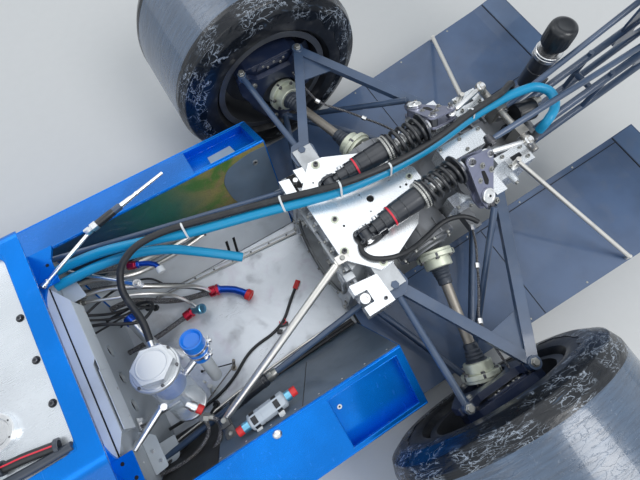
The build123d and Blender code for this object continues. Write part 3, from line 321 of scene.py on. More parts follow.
def rawLaminate(name):     # unpainted inner face of a moulding: ochre and green resin over woven glass
    f = Finish(name, (0.12, 0.14, 0.06), 0.5, 0.0, 0.2)
    along, high = (f.node("SeparateXYZ", {}, {0: f.place}, axis) for axis in (0, 2))
    wide, small = f.spots(9, 6, (1, 1, 1.6), warp=0.5), f.spots(34, 8, warp=0.6)
    weave = f.cells(420)
    tone = f.blend(f.edge(wide, 0.36, 0.6), (0.075, 0.20, 0.035), (0.34, 0.27, 0.085))
    # layers over the base tone: brown patches, teal and then dark blue towards the bulkhead end, near-black
    # towards the bottom, and a darker weave
    for share, overlay in ((f.edge(small, 0.5, 0.75) * 0.8, (0.30, 0.20, 0.11)),
                         (f.edge(along + wide * 0.16, -0.84, -0.64), (0.008, 0.13, 0.10)),
                         (f.edge(along + small * 0.1, -0.72, -0.5), (0.004, 0.045, 0.12)),
                         (f.edge(high + small * 0.05, 0.30, 0.20), (0.010, 0.03, 0.035)),
                         (f.edge(weave, 0.3, 0.6) * 0.25, (0.03, 0.035, 0.02))):
        tone = f.blend(share, tone, overlay)
    f.set("Base Color", tone)
    f.set("Roughness", 0.42 + small * 0.3)
    f.relief(weave * 0.0004 + small * 0.0008)
    return f.done()


def clear(name, colour, share, rough=0.05, mist=0.12):
    f = Finish(name, colour, rough, 0.0, 0.3)
    haze = f.patch(30, 6, 0.4, 0.8)
    f.set("Alpha", share + haze * mist)
    f.set("Roughness", rough + haze * mist)
    return f.done()


def mouldedPlastic(name, colour, rough=0.4, spread=0.1):
    f = Finish(name, colour, rough, 0.0, 0.1)
    cloud = f.spots(40, 5)
    f.set("Base Color", f.blend(cloud, shade(colour, 1 - spread), shade(colour, 1 + spread)))
    f.set("Roughness", rough + cloud * 0.12)
    f.relief(f.spots(500, 2) * 0.00002)
    return f.done(0.0006)


def mirrorGlass(name):
    f = Finish(name, (0.8, 0.82, 0.84), 0.04, 1.0, 0.4)
    f.set("Roughness", 0.03 + f.patch(40, 5, 0.5, 0.8) * 0.1)
    return f.done()


def webbing(name, colour):
    f = Finish(name, colour, 0.7, 0.0, 0.0, 0.3)
    rows = f.cells(700, (1.0, 0.35, 1.0))
    f.set("Base Color", f.blend(f.edge(rows, 0.2, 0.6), colour, shade(colour, 0.45)))
    f.set("Roughness", 0.65 + rows * 0.2)
    f.relief(rows * -0.0003)
    return f.done(0.0006)


tones = {      # the material of each slot, by the slot's name
    "blue_body": paintedBody("blueBody", bodyPaint["colour"], bodyPaint["dust"]),
    "dark_grey_panel": coated("greyPanel", darkPaint["panels"], 0.36, darkPaint["rub"], 0.4, 0.3, 0.00002,
                              0.3),
    "polished_sheet": sheet("polishedSheet", metalTones["polished"], 0.18, 0.00001, 0.08, 0.75),
    "satin_sheet": floorSheet("dullSheet"),
    "tub_aluminium": sheet("tubSheet", (0.52, 0.57, 0.62), 0.5, 0.00002, 0.15, 0.25),
    "wing_aluminium": sheet("wingSheet", (0.78, 0.79, 0.80), 0.34, 0.000015, 0.2),
    "machined_plate": machined("machinedPlate", metalTones["plate"], 0.2, 0.08, 0.7),
    "cast_magnesium": castMetal("castCase", (0.30, 0.31, 0.33), 0.5, 0.00012, 0.5),
    "rocker_anodised": machined("rockerPlate", (0.24, 0.25, 0.34), 0.34, 0.3, 0.7),
    "damper_black": coated("damperBlack", (0.018, 0.021, 0.028), 0.3, (0.5, 0.5, 0.5), 0.4, 0.5),
    "spring_black": coated("springBlack", (0.016, 0.017, 0.02), 0.3, (0.4, 0.4, 0.4), 0.3, 0.5),
    "satin_steel": machined("satinSteel", (0.40, 0.385, 0.36), 0.36, 0.5),
    "bare_steel_tube": machined("bareTube", (0.78, 0.75, 0.70), 0.26, 0.25),
    "black_steel": coated("blackSteel", darkPaint["arms"], 0.3, darkPaint["chip"], 0.6, 0.5),
    "radiator_core": castMetal("radiatorCore", (0.08, 0.08, 0.08), 0.6, 0.0002, 0.1),
    "blue_hose": rubber("blueHose", (0.008, 0.32, 0.58), 0.34, 0.12, 0.1),
    "black_hose": rubber("blackHose", (0.022, 0.023, 0.026), 0.42, 0.25),
    "braided_steel": braid("steelBraid"),
    "red_blue_anodised": anodised("blueAnodised", (0.01, 0.10, 0.62)),
    "seat_shell": coated("seatShell", (0.03, 0.03, 0.033), 0.4, (0.2, 0.2, 0.2), 0.2),
    "black_panel": coated("blackPanel", (0.02, 0.02, 0.02), 0.5, darkPaint["rub"], 0.3),
    "wheel_grip": rubber("wheelGrip", (0.03, 0.03, 0.032), 0.8, 0.2),
    "clear_screen": clear("clearScreen", (0.7, 0.76, 0.8), 0.24, 0.05, 0.015),
    "tyre_rubber": slickTread("slickTread"),
    "rim_metal": castMetal("rimMetal", (0.22, 0.23, 0.25), 0.38, 0.00004, 0.25),
}
slotOf = {slot: slot for slot in tones}


def addTone(name, slotName, material):      # a finish of the scene's own, and the slot that it stands for
    tones[name], slotOf[name] = material, slotName


addTone("film", "tyre_rubber", stretchFilm("stretchFilm"))
addTone("crumple", "tyre_rubber", crumpledFilm("crumpledFilm"))
addTone("sidewall", "tyre_rubber", rubber("sidewallRubber", (0.012, 0.013, 0.016), 0.34, 0.35, 0.2))
addTone("redPart", "red_blue_anodised", anodised("redAnodised", (0.62, 0.012, 0.05)))
addTone("redPlug", "red_blue_anodised", mouldedPlastic("redPlug", (0.72, 0.03, 0.03)))
addTone("redLine", "red_blue_anodised", mouldedPlastic("redLine", (0.80, 0.03, 0.06), 0.35))
addTone("bluePart", "red_blue_anodised", anodised("paleBlueCollar", (0.22, 0.58, 0.80)))
addTone("blueSleeve", "blue_hose", rubber("blueSleeve", (0.01, 0.21, 0.78), 0.3, 0.08, 0.2))
# the blue of the core inside the tank's glass is a painted reflection of blue seen in the glass
addTone("reflectionBlue", "blue_body", mouldedPlastic("reflectionBlue", (0.02, 0.16, 0.62), 0.25, 0.4))
addTone("paleSheet", "satin_sheet", sheet("paleSheet", (0.50, 0.54, 0.58), 0.45, 0.00002, 0.2, 0.1))
# a paler copy of the pale bulkhead sheet, its colour raised so that parts lying in shade still look lit:
# painted light
addTone("litPaleSheet", "satin_sheet", sheet("litPaleSheet", (0.80, 0.84, 0.87), 0.45, 0.00002, 0.2, 0.0))
addTone("patch", "polished_sheet", mouldedPlastic("palePatch", (0.40, 0.50, 0.60), 0.45, 0.12))
addTone("capTone", "machined_plate", machined("capTone", (0.62, 0.64, 0.66), 0.28, 0.12, 0.6))
addTone("whitePart", "machined_plate", mouldedPlastic("whiteNylon", (0.82, 0.83, 0.82)))
addTone("cream", "satin_steel", machined("zincPlated", (0.72, 0.74, 0.60), 0.36, 0.35, 0.5))
addTone("bright", "satin_steel", machined("brightSteel", (0.80, 0.80, 0.80), 0.22, 0.15, 1.0, 0.0006))
addTone("darkBolt", "satin_steel", machined("darkBolt", (0.10, 0.10, 0.11), 0.3, 0.3, 0.8, 0.0006))
addTone("darkSilver", "satin_steel", machined("darkSilver", (0.34, 0.34, 0.32), 0.34, 0.5, 0.9, 0.0006))
addTone("shaftTone", "satin_steel", machined("shaftTone", (0.34, 0.31, 0.27), 0.4, 0.7, 0.7))
addTone("bootBlack", "black_hose", rubber("bootBlack", (0.045, 0.055, 0.075), 0.4, 0.1, 0.2))
addTone("blackCap", "black_panel", mouldedPlastic("blackCap", (0.012, 0.014, 0.018), 0.26))
# near-black painted shade, put into holes, sockets, slots, recesses and gaps in place of the shade inside
# them
addTone("shadeBlack", "black_panel", mouldedPlastic("paintedShadeBlack", (0.004, 0.004, 0.005), 0.8))
addTone("gauge", "black_panel", mouldedPlastic("gaugeFace", (0.01, 0.01, 0.012), 0.3))
addTone("belt", "black_panel", webbing("beltWebbing", (0.03, 0.03, 0.035)))
addTone("laminate", "dark_grey_panel", rawLaminate("rawLaminate"))
addTone("greyInner", "dark_grey_panel", coated("greyInner", (0.10, 0.14, 0.19), 0.4, darkPaint["rub"], 0.3,
                                               0.2))
addTone("lipTone", "dark_grey_panel", coated("lipTone", (0.085, 0.145, 0.26), 0.34, darkPaint["rub"], 0.4,
                                             0.3))
addTone("glass", "clear_screen", clear("tankGlass", (0.72, 0.80, 0.86), 0.20))
addTone("mirror", "clear_screen", mirrorGlass("mirrorGlass"))
addTone("fins", "radiator_core", castMetal("coreFins", (0.16, 0.16, 0.17), 0.45, 0.0001, 0.2))
addTone("lightCast", "cast_magnesium", castMetal("lightCast", (0.60, 0.62, 0.64), 0.42, 0.00008, 0.35))
addTone("nightBlue", "cast_magnesium", coated("uprightPaint", (0.012, 0.020, 0.050), 0.28, (0.25, 0.25, 0.26),
                                              0.4, 0.5))

ownTones = {"tyre_rear_left": "film", "tyre_rear_right": "film", "rear_uprights": "nightBlue",
            "bell_housing": "lightCast", "rear_bulkhead": "paleSheet"}


def dressFrame():
    for part in frame["record"]["subparts"]:
        slots = frame["nodes"][part["node"]].data.materials
        slots.clear()
        slots.append(tones[ownTones.get(part["node"], part["material_slot"])])


# making pieces

def turn(bm, profile, base, ahead, sides=24):      # profile points are (along, radius) in millimetres
    facing = Vector(ahead).normalized()
    outward = facing.orthogonal().normalized()
    points = [bm.verts.new(base + facing * (a / 1000) + outward * (r / 1000)) for a, r in profile]
    runs = [bm.edges.new(pair) for pair in zip(points, points[1:])]
    bmesh.ops.spin(bm, geom=points + runs, cent=base, axis=facing, angle=2 * math.pi, steps=sides,
                   use_merge=True)


def disc(bm, base, ahead, radius, high, sides=24, low=0.0):
    turn(bm, [(low, 0), (low, radius), (high, radius), (high, 0)], base, ahead, sides)


def band(bm, base, ahead, inner, outer, low, high, sides=32):
    turn(bm, [(low, inner), (low, outer), (high, outer), (high, inner)], base, ahead, sides)


def washer(bm, base, ahead, inner, outer, thick):
    turn(bm, [(0, inner), (0, outer), (thick, outer), (thick, inner), (0, inner)], base, ahead, 28)


def bar(bm, start, end, radius, sides=16, soften=0.0):
    length = (end - start).length * 1000
    if soften:
        turn(bm, [(0, 0), (0, radius - soften), (soften, radius), (length - soften, radius),
                  (length, radius - soften), (length, 0)], start, end - start, sides)
    else:
        disc(bm, start, end - start, radius, length, sides)


def hexagon(bm, base, ahead, across, height, soften=0.6):      # a nut or bolt head, across its flats
    r = across / 2 / math.cos(math.pi / 6)
    turn(bm, [(0, 0), (0, r), (height - soften, r), (height, r - soften), (height, 0)], base, ahead, 6)


def boltHead(bm, base, ahead, size=8.0):      # hexagon head with a washer under it
    facing = Vector(ahead).normalized()
    turn(bm, [(0, 0), (0, size), (0.8, size), (1.2, size - 0.5), (1.2, 0)], base, facing, 20)
    hexagon(bm, base + facing * 0.001, facing, size * 1.55, size * 0.65)


def socketHead(bm, base, ahead, size=6.0):      # round cap screw with its socket
    r = size * 0.8
    turn(bm, [(0, 0), (0, r), (size * 0.85, r), (size, r - 0.5), (size, size * 0.42),
              (size * 0.45, size * 0.4), (size * 0.45, 0)], base, ahead, 18)


def rivet(bm, base, ahead, r=2.4):
    turn(bm, [(-0.5, 0), (-0.5, r), (0.2, r), (0.9, r * 0.6), (1.1, 0)], base, ahead, 10)


def slab(bm, outline, move):      # a flat outline, pushed along a vector
    face = bm.faces.new([bm.verts.new(p) for p in outline])
    pushed = bmesh.ops.extrude_face_region(bm, geom=[face])["geom"]
    bmesh.ops.translate(bm, verts=[v for v in pushed if isinstance(v, bmesh.types.BMVert)], vec=move)


def brick(bm, centre, size, turned=None, soften=0.0):      # centre is a point, size in millimetres
    grown = Matrix.Diagonal((*(s / 1000 for s in size), 1))
    place = Matrix.Translation(centre) @ (turned or Matrix.Identity(4)) @ grown
    made = bmesh.ops.create_cube(bm, size=1.0, matrix=place)["verts"]
    if soften:
        edges = list({e for v in made for e in v.link_edges})
        bmesh.ops.bevel(bm, geom=edges, offset=soften / 1000, offset_type="OFFSET", segments=2, profile=0.5,
                        affect="EDGES", material=-1)


def facing(ahead, up=(0, 0, 1)):      # a turn whose x runs along ahead
    x = Vector(ahead).normalized()
    y = Vector(up).cross(x).normalized()
    return Matrix((x, y, x.cross(y))).transposed().to_4x4()


def spokes(count, axis, first=None, turned=0.0):      # directions spread evenly round an axis
    first = first or axis.orthogonal().normalized()
    return [Matrix.Rotation(2 * math.pi * number / count + turned, 3, axis) @ first
            for number in range(count)]


def blanks(count):
    return [bmesh.new() for _ in range(count)]


def stand(name, data, tone, body, stands):
    data.materials.append(tones[tone])
    made = bpy.data.objects.new(name, data)
    bpy.context.scene.collection.objects.link(made)
    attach(made, body)
    if stands:
        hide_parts(*stands)
    return made


def piece(name, bm, tone, body="chassis", stands=(), smooth=32):
    bmesh.ops.remove_doubles(bm, verts=bm.verts, dist=2e-6)
    bmesh.ops.dissolve_degenerate(bm, edges=bm.edges, dist=1e-6)
    bmesh.ops.recalc_face_normals(bm, faces=bm.faces)
    mesh = bpy.data.meshes.new(name)
    bm.to_mesh(mesh)
    bm.free()
    mesh.shade_smooth()
    mesh.set_sharp_from_angle(angle=math.radians(smooth))
    return stand(name, mesh, tone, body, stands)


def tube(name, route, radius, tone, stands=(), resolution=10):
    curve = bpy.data.curves.new(name, "CURVE")
    curve.dimensions = "3D"
    curve.bevel_depth = radius / 1000
    curve.bevel_resolution = 4
    curve.use_fill_caps = True
    line = curve.splines.new("NURBS")
    line.points.add(len(route) - 1)
    for point, place in zip(line.points, route):
        point.co = (*at(*place), 1.0)
    line.order_u = 3
    line.use_endpoint_u = True
    line.resolution_u = resolution
    return stand(name, curve, tone, "chassis", stands)


def lengthOf(tubePiece):      # the length of a tube's own centre line
    bare = tubePiece.copy()
    bare.data = tubePiece.data.copy()
    bare.data.bevel_depth = 0
    bpy.context.scene.collection.objects.link(bare)
    bpy.context.view_layer.update()
    plain = bpy.data.meshes.new_from_object(bare.evaluated_get(bpy.context.evaluated_depsgraph_get()))
    points = [v.co.copy() for v in plain.vertices]
    bpy.data.meshes.remove(plain)
    bpy.data.objects.remove(bare)
    return sum((b - a).length for a, b in zip(points, points[1:]))


def bothSides(make):
    for side, sign in (("Left", 1), ("Right", -1)):
        make(side, sign)


def elbowRing(bm, steps, radius, sides=16):      # short bent tube through a few points
    loops = []
    for number, step in enumerate(steps):
        ahead = (steps[min(number + 1, len(steps) - 1)] - steps[max(number - 1, 0)]).normalized()
        turned = facing(ahead, (0.1, 0.2, 1)) @ Matrix.Rotation(math.pi / 2, 4, "Y")
        made = bmesh.ops.create_circle(bm, cap_ends=False, segments=sides, radius=radius / 1000,
                                       matrix=Matrix.Translation(step) @ turned)["verts"]
        loops.append(list({e for v in made for e in v.link_edges}))
    for first, second in zip(loops, loops[1:]):
        bmesh.ops.bridge_loops(bm, edges=first + second)
    bmesh.ops.holes_fill(bm, edges=loops[0] + loops[-1], sides=sides)


def softCorners(points, radius, steps=4):      # flat points in millimetres, each corner cut to an arc
    points, made = [Vector(p) for p in points], []
    for number, corner in enumerate(points):
        r = radius[number] if isinstance(radius, list) else radius
        first, second = points[number - 1] - corner, points[(number + 1) % len(points)] - corner
        reach = min(r, first.length * 0.45, second.length * 0.45)
        if reach < 0.2:
            made.append(corner)
            continue
        start, end = corner + first.normalized() * reach, corner + second.normalized() * reach
        for step in range(steps + 1):
            share = step / steps
            made.append(start * (1 - share) ** 2 + corner * (2 * share * (1 - share)) + end * share ** 2)
    return made


# outline of (x, y), pushed up from low to high
def levelSlab(bm, outline, low, high, radius=0.0, sign=1):
    points = softCorners([(x, y * sign) for x, y in outline], radius)
    slab(bm, [at(p.x, p.y, low) for p in points], Vector((0, 0, (high - low) / 1000)))


def uprightSlab(bm, outline, low, high, radius=0.0):      # outline of (x, z), pushed along y from low to high
    slab(bm, [at(p.x, low, p.y) for p in softCorners(outline, radius)], Vector((0, (high - low) / 1000, 0)))


# the screw's socket is painted dark: painted shade inside it
def capHead(bm, dark, base, ahead, size=6.0):      # black cap screw, its socket dark
    turn(bm, [(0.5, 0), (0.5, size * 0.78), (size * 0.8, size * 0.78), (size * 0.92, size * 0.66),
              (size * 0.92, 0)], base, ahead, 18)
    turn(dark, [(size * 0.92, 0), (size * 0.92, size * 0.42), (size * 0.95, size * 0.38), (size * 0.95, 0)],
         base, ahead, 6)


# camera, light and floor

cameraFacts = {"eye": (-0.84464, 0.30763, 1.36260), "lens": 24.361,
               "right": (-0.85117, 0.52477, 0.01120), "down": (0.48967, 0.80155, -0.34314),
               "ahead": (-0.18904, -0.28659, -0.93922)}
skyFacts = {"strength": 0.6, "backdrop": (0.90, 0.95, 1.0), "tone": (0.80, 0.90, 1.0)}
floorFacts = {"size": 14.0, "colour": (0.72, 0.71, 0.69)}
lamps = {      # place, aim, size, power and colour
    "key": ((-2.6, 2.2, 4.2), (-0.8, 0, 0.3), 2.2, 78.0, (1, 1, 1)),
    "top": ((-1.6, -1.1, 4.4), (-0.9, 0, 0.4), 3.4, 24.0, (1, 1, 1)),
    "fill": ((1.8, 3.4, 3.2), (0, 0, 0.3), 3.0, 30.0, (0.95, 0.97, 1.0)),
    "rim": ((0.6, -4.0, 3.4), (-0.4, 0, 0.3), 2.5, 26.0, (1, 1, 1)),
}


def makeCamera():
    camera = bpy.data.objects.new("camera", bpy.data.cameras.new("camera"))
    bpy.context.scene.collection.objects.link(camera)
    right, down, ahead = (Vector(cameraFacts[k]) for k in ("right", "down", "ahead"))
    turned = Matrix((right, -down, -ahead)).transposed().to_4x4()
    camera.matrix_world = Matrix.Translation(cameraFacts["eye"]) @ turned
    camera.data.sensor_width = 36.0
    camera.data.lens = cameraFacts["lens"]
    camera.data.clip_start = 0.01
    bpy.context.scene.camera = camera


def makeLamps():
    for name, (place, aim, size, power, tone) in lamps.items():
        data = bpy.data.lights.new(name, "AREA")
        data.shape, data.size, data.energy, data.color = "DISK", size, power, tone
        lamp = bpy.data.objects.new(name, data)
        bpy.context.scene.collection.objects.link(lamp)
        lamp.location = place
        lamp.rotation_euler = (Vector(aim) - Vector(place)).to_track_quat("-Z", "Y").to_euler()


def makeSky():
    world = bpy.data.worlds.new("sky")
    bpy.context.scene.world = world
    world.use_nodes = True
    nodes, links = world.node_tree.nodes, world.node_tree.links
    plain = nodes["Background"]
    plain.inputs["Color"].default_value = (*skyFacts["tone"], 1.0)
    plain.inputs["Strength"].default_value = skyFacts["strength"]
    white = nodes.new("ShaderNodeBackground")
    white.inputs["Color"].default_value = (*skyFacts["backdrop"], 1.0)
    path = nodes.new("ShaderNodeLightPath")
    mix = nodes.new("ShaderNodeMixShader")
    seen = Wire(path.outputs["Is Camera Ray"]).most(Wire(path.outputs["Is Glossy Ray"]))
    feed(mix.inputs[0], seen.most(Wire(path.outputs["Is Transmission Ray"])))
    links.new(plain.outputs[0], mix.inputs[1])
    links.new(white.outputs[0], mix.inputs[2])
    links.new(mix.outputs[0], nodes["World Output"].inputs[0])


def makeFloor():
    bm = bmesh.new()
    bmesh.ops.create_grid(bm, x_segments=1, y_segments=1, size=floorFacts["size"])
    mesh = bpy.data.meshes.new("floor")
    bm.to_mesh(mesh)
    bm.free()
    floor = bpy.data.objects.new("floor", mesh)
    bpy.context.scene.collection.objects.link(floor)
    f = Finish("paleFloor", floorFacts["colour"], 0.85, 0.0, 0.0, 0.2)
    f.set("Base Color", f.blend(f.spots(30, 6), shade(floorFacts["colour"], 0.96), floorFacts["colour"]))
    mesh.materials.append(f.done())


makeCamera()
makeSky()
makeLamps()
makeFloor()
bpy.context.scene.view_settings.view_transform = "Standard"
dressFrame()
print("camera, light and floor made")


# cords: two braided lines, the wiring and the short blue hose lie free in the engine bay

cordRoutes = {
    "ventHose": {"node": "vent_hose", "radius": 11.5, "slot": "blue_hose", "end": "bare", "stiff": "medium",
                 "route": [(737, -205, 392), (670, -205, 392), (606, -201, 388), (541, -188, 382),
                           (478, -160, 377), (426, -122, 372), (378, -88, 362), (342, -62, 350)]},
    "longFuelLine": {"node": "fuel_line_long", "radius": 8.5, "slot": "braided_steel", "end": "fitting",
                     "stiff": "medium",
                     "route": [(736.7, -206, 112), (692, -206, 112), (645, -186, 100), (600, -158, 86),
                               (548, -134, 80), (503, -122, 80), (470, -114, 80)]},
    "shortFuelLine": {"node": "fuel_line_short", "radius": 7.5, "slot": "braided_steel", "end": "fitting",
                      "stiff": "medium",
                      "route": [(736.7, -62, 124), (694, -62, 124), (652, -66, 108), (618, -75, 92),
                                (588, -81, 84), (566, -84, 84)]},
    "wiringLoom": {"node": "wiring_loom", "radius": 4.5, "slot": "black_hose", "end": "plug", "stiff": "limp",
                   "route": [(736.7, 169, 80), (692, 169, 80), (640, 166, 62), (578, 158, 60),
                             (520, 136, 60), (470, 104, 60), (425, 92, 60), (372, 90, 60), (322, 72, 60),
                             (278, 30, 60), (248, 6, 60)]},
}
fittingSpots = [  # bend and end of each elbow fitting
    {"line": "longFuelLine", "bend": (402, -82, 81), "end": (372, -38, 84), "scale": 1.9,
     "cap": "redPlug", "elbow": "red_blue_anodised"},
    {"line": "shortFuelLine", "bend": (532, -80, 98), "end": (508, -70, 118), "scale": 1.6,
     "cap": "bluePart", "elbow": "bluePart"},
]


def makeFitting(spot):
    nuts, elbows, caps = blanks(3)
    route, k = cordRoutes[spot["line"]]["route"], spot["scale"]
    start, bend, end = at(*route[-1]), at(*spot["bend"]), at(*spot["end"])
    ahead = (start - at(*route[-2])).normalized()
    turn(nuts, [(-4, 0), (-4, 8 * k), (-2.5, 8.8 * k), (14, 8.8 * k), (15, 8 * k), (17, 8 * k), (17, 0)],
         start, ahead, 12)
    hexagon(nuts, start + ahead * 0.0168, ahead, 15.5 * k, 8)
    joint = start + ahead * 0.0245
    inward, outward = bend - joint, end - bend
    last = end - outward.normalized() * 0.016
    turn(elbows, [(0, 0), (0, 7.6 * k), (3, 7.6 * k), (3, 6 * k), (6, 5.6 * k)], joint, ahead, 20)
    elbowRing(elbows, [joint, joint + inward * 0.55, bend - inward * 0.12 + outward * 0.1,
                       bend + outward * 0.4, last], 5.6 * k)
    disc(elbows, end - outward.normalized() * 0.020, outward, 7.4 * k, 4, 20)
    turn(caps, [(0, 0), (0, 8.2 * k), (1, 9 * k), (14.5, 9 * k), (16, 7.6 * k), (16, 6.2 * k), (14, 5.6 * k),
                (14, 0)], last, outward, 24)
    made = (("Nut", nuts, "redPart"), ("Elbow", elbows, spot["elbow"]), ("Cap", caps, spot["cap"]))
    return [piece(spot["line"] + name, bm, tone) for name, bm, tone in made]


def makePlug():
    bm = bmesh.new()
    run = (at(248, 6, 61) - at(278, 30, 61)).normalized()
    middle = at(248, 6, 61) + run * 0.014
    brick(bm, middle, (28, 15, 10), facing(run), 1.2)
    brick(bm, middle - run * 0.006 + Vector((0, 0, 0.0046)), (12, 6, 2), facing(run), 0.5)
    return piece("loomPlug", bm, "redPlug", stands=("line_fittings",))


def makeCords():
    carried = {spot["line"]: makeFitting(spot) for spot in fittingSpots}
    carried["wiringLoom"] = [makePlug()]
    for name, facts in cordRoutes.items():
        made = tube(name, facts["route"], facts["radius"], facts["slot"], (facts["node"],))
        at(*facts["route"][0])
        lengthOf(made)
        facts["radius"] / 500


makeCords()
print("cords laid")


# catch tank, stand pipe and fuel filter

tankFacts = {"top": (608, 80, 452), "low": (628, 166, 205), "capAcross": 78, "glassR": 42, "ringR": 52,
             "coreR": 34}
pipeFacts = {"top": (528, 62, 400), "low": (541, 114, 250), "sleeveR": 25.6}
filterFacts = {"start": (538, 281, 345), "end": (388, 270, 345), "bodyR": 18.6, "bandsAt": (437, 493)}


def makeTank():
    top, run = at(*tankFacts["top"]), (at(*tankFacts["low"]) - at(*tankFacts["top"])).normalized()
    metal, glass, core, bright, bolts, plugs, elbows = blanks(7)
    r, ring, coreR = tankFacts["glassR"], tankFacts["ringR"], tankFacts["coreR"]
    hexagon(metal, top, run, tankFacts["capAcross"], 15, soften=2.4)
    turn(metal, [(1.4, 0), (1.4, 30), (-0.2, 31), (-0.2, 33.5), (1.6, 34.5), (3, 34.5), (3, 0)], top, run, 40)
    turn(metal, [(14, 0), (14, 46), (16, 47), (16, ring - 2), (17.5, ring), (24, ring), (26, ring - 1.5),
                 (26, r + 2), (32, r + 1), (32, r - 3), (26, r - 3), (26, 0)], top, run, 48)
    turn(glass, [(32, r - 3.2), (32, r), (232, r), (232, r - 2.6), (32.5, r - 2.6)], top, run, 48)
    # blue core inside the glass: its colour is a painted reflection
    turn(core, [(34, 0), (34, coreR - 4), (40, coreR), (112, coreR), (126, 26), (130, 0)], top, run, 40)
    turn(bright, [(228, 0), (228, r - 2.8), (230, r + 0.8), (236, r + 0.8), (240, r - 1), (256, 33),
                  (262, 30), (262, 0)], top, run, 48)
    disc(bright, top, run, 4, 229, 12, 130)
    port = at(604.04, 20.3, 399.96)
    turn(bright, [(0, 4), (0, 7.2), (6, 7.6), (10, 7.2), (16, 7.6), (22, 7.2), (30, 7.2), (30, 9), (64, 9),
                  (64, 0)], port, at(612, 84, 392) - port, 20)
    for out in spokes(6, run, turned=math.radians(12)):
        socketHead(bolts, top + run * 0.0145 + out * 0.0475, -run, 4)
    brick(bright, at(682.5, 144, 262), (109, 8, 24), soften=1.2)
    brick(bright, at(734, 144, 262), (4, 30, 38), soften=0.8)
    for z in (248, 276):
        boltHead(bolts, at(732, 151, z), (-1, 0, 0), 5)
    for spot, side in (((597, 186, 312), (-0.55, 0.75, -0.2)), ((612, 168, 290), (-0.35, 0.9, 0.1))):
        turn(elbows, [(-26, 0), (-26, 9), (-12, 9), (-12, 11), (-2, 11), (-2, 8), (0, 8), (0, 0)], at(*spot),
             side, 20)
        turn(plugs, [(0, 0), (0, 9.5), (1, 10.5), (13, 10.5), (14.5, 9), (14.5, 7), (12, 6.2), (12, 0)],
             at(*spot), side, 12)
    piece("tankCap", metal, "capTone", stands=("catch_tank",))
    piece("tankGlass", glass, "glass")
    piece("tankReflectionCore", core, "reflectionBlue")
    piece("tankRings", bright, "bright")
    piece("tankBolts", bolts, "darkBolt")
    piece("tankElbows", elbows, "bright")
    piece("tankPlugs", plugs, "redPlug")


def makeStandPipe():
    top, run = at(*pipeFacts["top"]), (at(*pipeFacts["low"]) - at(*pipeFacts["top"])).normalized()
    sleeve, metal, bolts, tail = blanks(4)
    r, side = pipeFacts["sleeveR"], run.orthogonal().normalized()
    turn(sleeve, [(6, 0), (6, 18), (2, 21), (0, 22), (0, r - 0.8), (1.2, r), (60, r), (60, 22), (60, 0)], top,
         run, 40)
    turn(sleeve, [(62, 0), (62, 20), (63, 22.6), (80, 22.6), (81, 20), (81, 0)], top, run, 40)
    turn(tail, [(56, 0), (56, 19), (66, 19), (81, 18), (86, 15), (205, 15), (205, 0)], top, run, 40)
    for start, angle in ((26, 60), (48, 100)):
        turn(metal, [(start, r - 1), (start, r + 1.1), (start + 1, r + 1.3), (start + 8, r + 1.3),
                     (start + 9, r + 1.1), (start + 9, r - 1)], top, run, 40)
        out = Matrix.Rotation(math.radians(angle), 3, run) @ side
        along = run.cross(out)
        middle = top + run * ((start + 4.5) / 1000) + out * ((r + 4.4) / 1000)
        brick(metal, middle, (8, 16, 7), facing(run, along), 1.0)
        bar(bolts, middle - along * 0.012, middle + along * 0.015, 2.2, 12)
        hexagon(bolts, middle + along * 0.008, along, 7.5, 5)
    low, high = at(534, 86, 330), at(618, 122, 330)
    bar(metal, low, high, 8, 24, 1)
    band(metal, at(540, 88.6, 330), high - low, 8, 10, 0, 8, 24)
    piece("pipeSleeve", sleeve, "blueSleeve")
    piece("pipeMetal", metal, "bright")
    # the tail takes the paler sheet so that it looks lit in the tank's shade: painted light
    piece("pipeTail", tail, "litPaleSheet")
    piece("pipeClamps", bolts, "bright")


def makeFilter():
    start, end, r = at(*filterFacts["start"]), at(*filterFacts["end"]), filterFacts["bodyR"]
    run = (end - start).normalized()
    body, collars, plugs, clamps, dark = blanks(5)
    turn(body, [(30, 0), (30, 12), (33, r - 1), (34.5, r), (60, r), (61, r - 0.8), (63, r - 0.8), (64, r),
                (90, r), (91, r - 0.8), (93, r - 0.8), (94, r), (119.5, r), (121, r - 1), (124, 12),
                (124, 0)], start, run, 40)
    brick(body, start + run * 0.077 + Vector((0, 0, 0.0136)), (82, 25, 8), facing(run), 1.5)
    for low, high, outer, way in ((14, 32, 0.015, -1), (122, 138, 0.137, 1)):
        turn(collars, [(low, 0), (low, 10.6), (low + 1, 11.6), (high - 1, 11.6), (high, 10.6), (high, 0)],
             start, run, 12)
        turn(plugs, [(0, 0), (0, 9.6), (1, 10.6), (13.6, 10.6), (14.8, 9.4), (14.8, 7.4), (11, 6.8), (11, 0)],
             start + run * outer, run * way, 24)
    for x in filterFacts["bandsAt"]:
        middle = start + (end - start) * ((filterFacts["start"][0] - x) / 150)
        band(dark, middle, run, r - 0.5, r + 1, -6, 6, 40)
        brick(clamps, middle + Vector((0, 0.026, -0.001)), (14, 24, 14), soften=1.2)
        boltHead(clamps, middle + Vector((0, 0.030, 0.006)), (0, 0, 1), 4.2)
    piece("filterBody", body, "tub_aluminium", stands=("fuel_filter",))
    piece("filterCollars", collars, "bluePart")
    piece("filterPlugs", plugs, "redPlug")
    piece("filterClamps", clamps, "whitePart")
    piece("filterBands", dark, "blackCap")


makeTank()
makeStandPipe()
makeFilter()
print("tank, pipe and filter made")


# springs, dampers and rockers

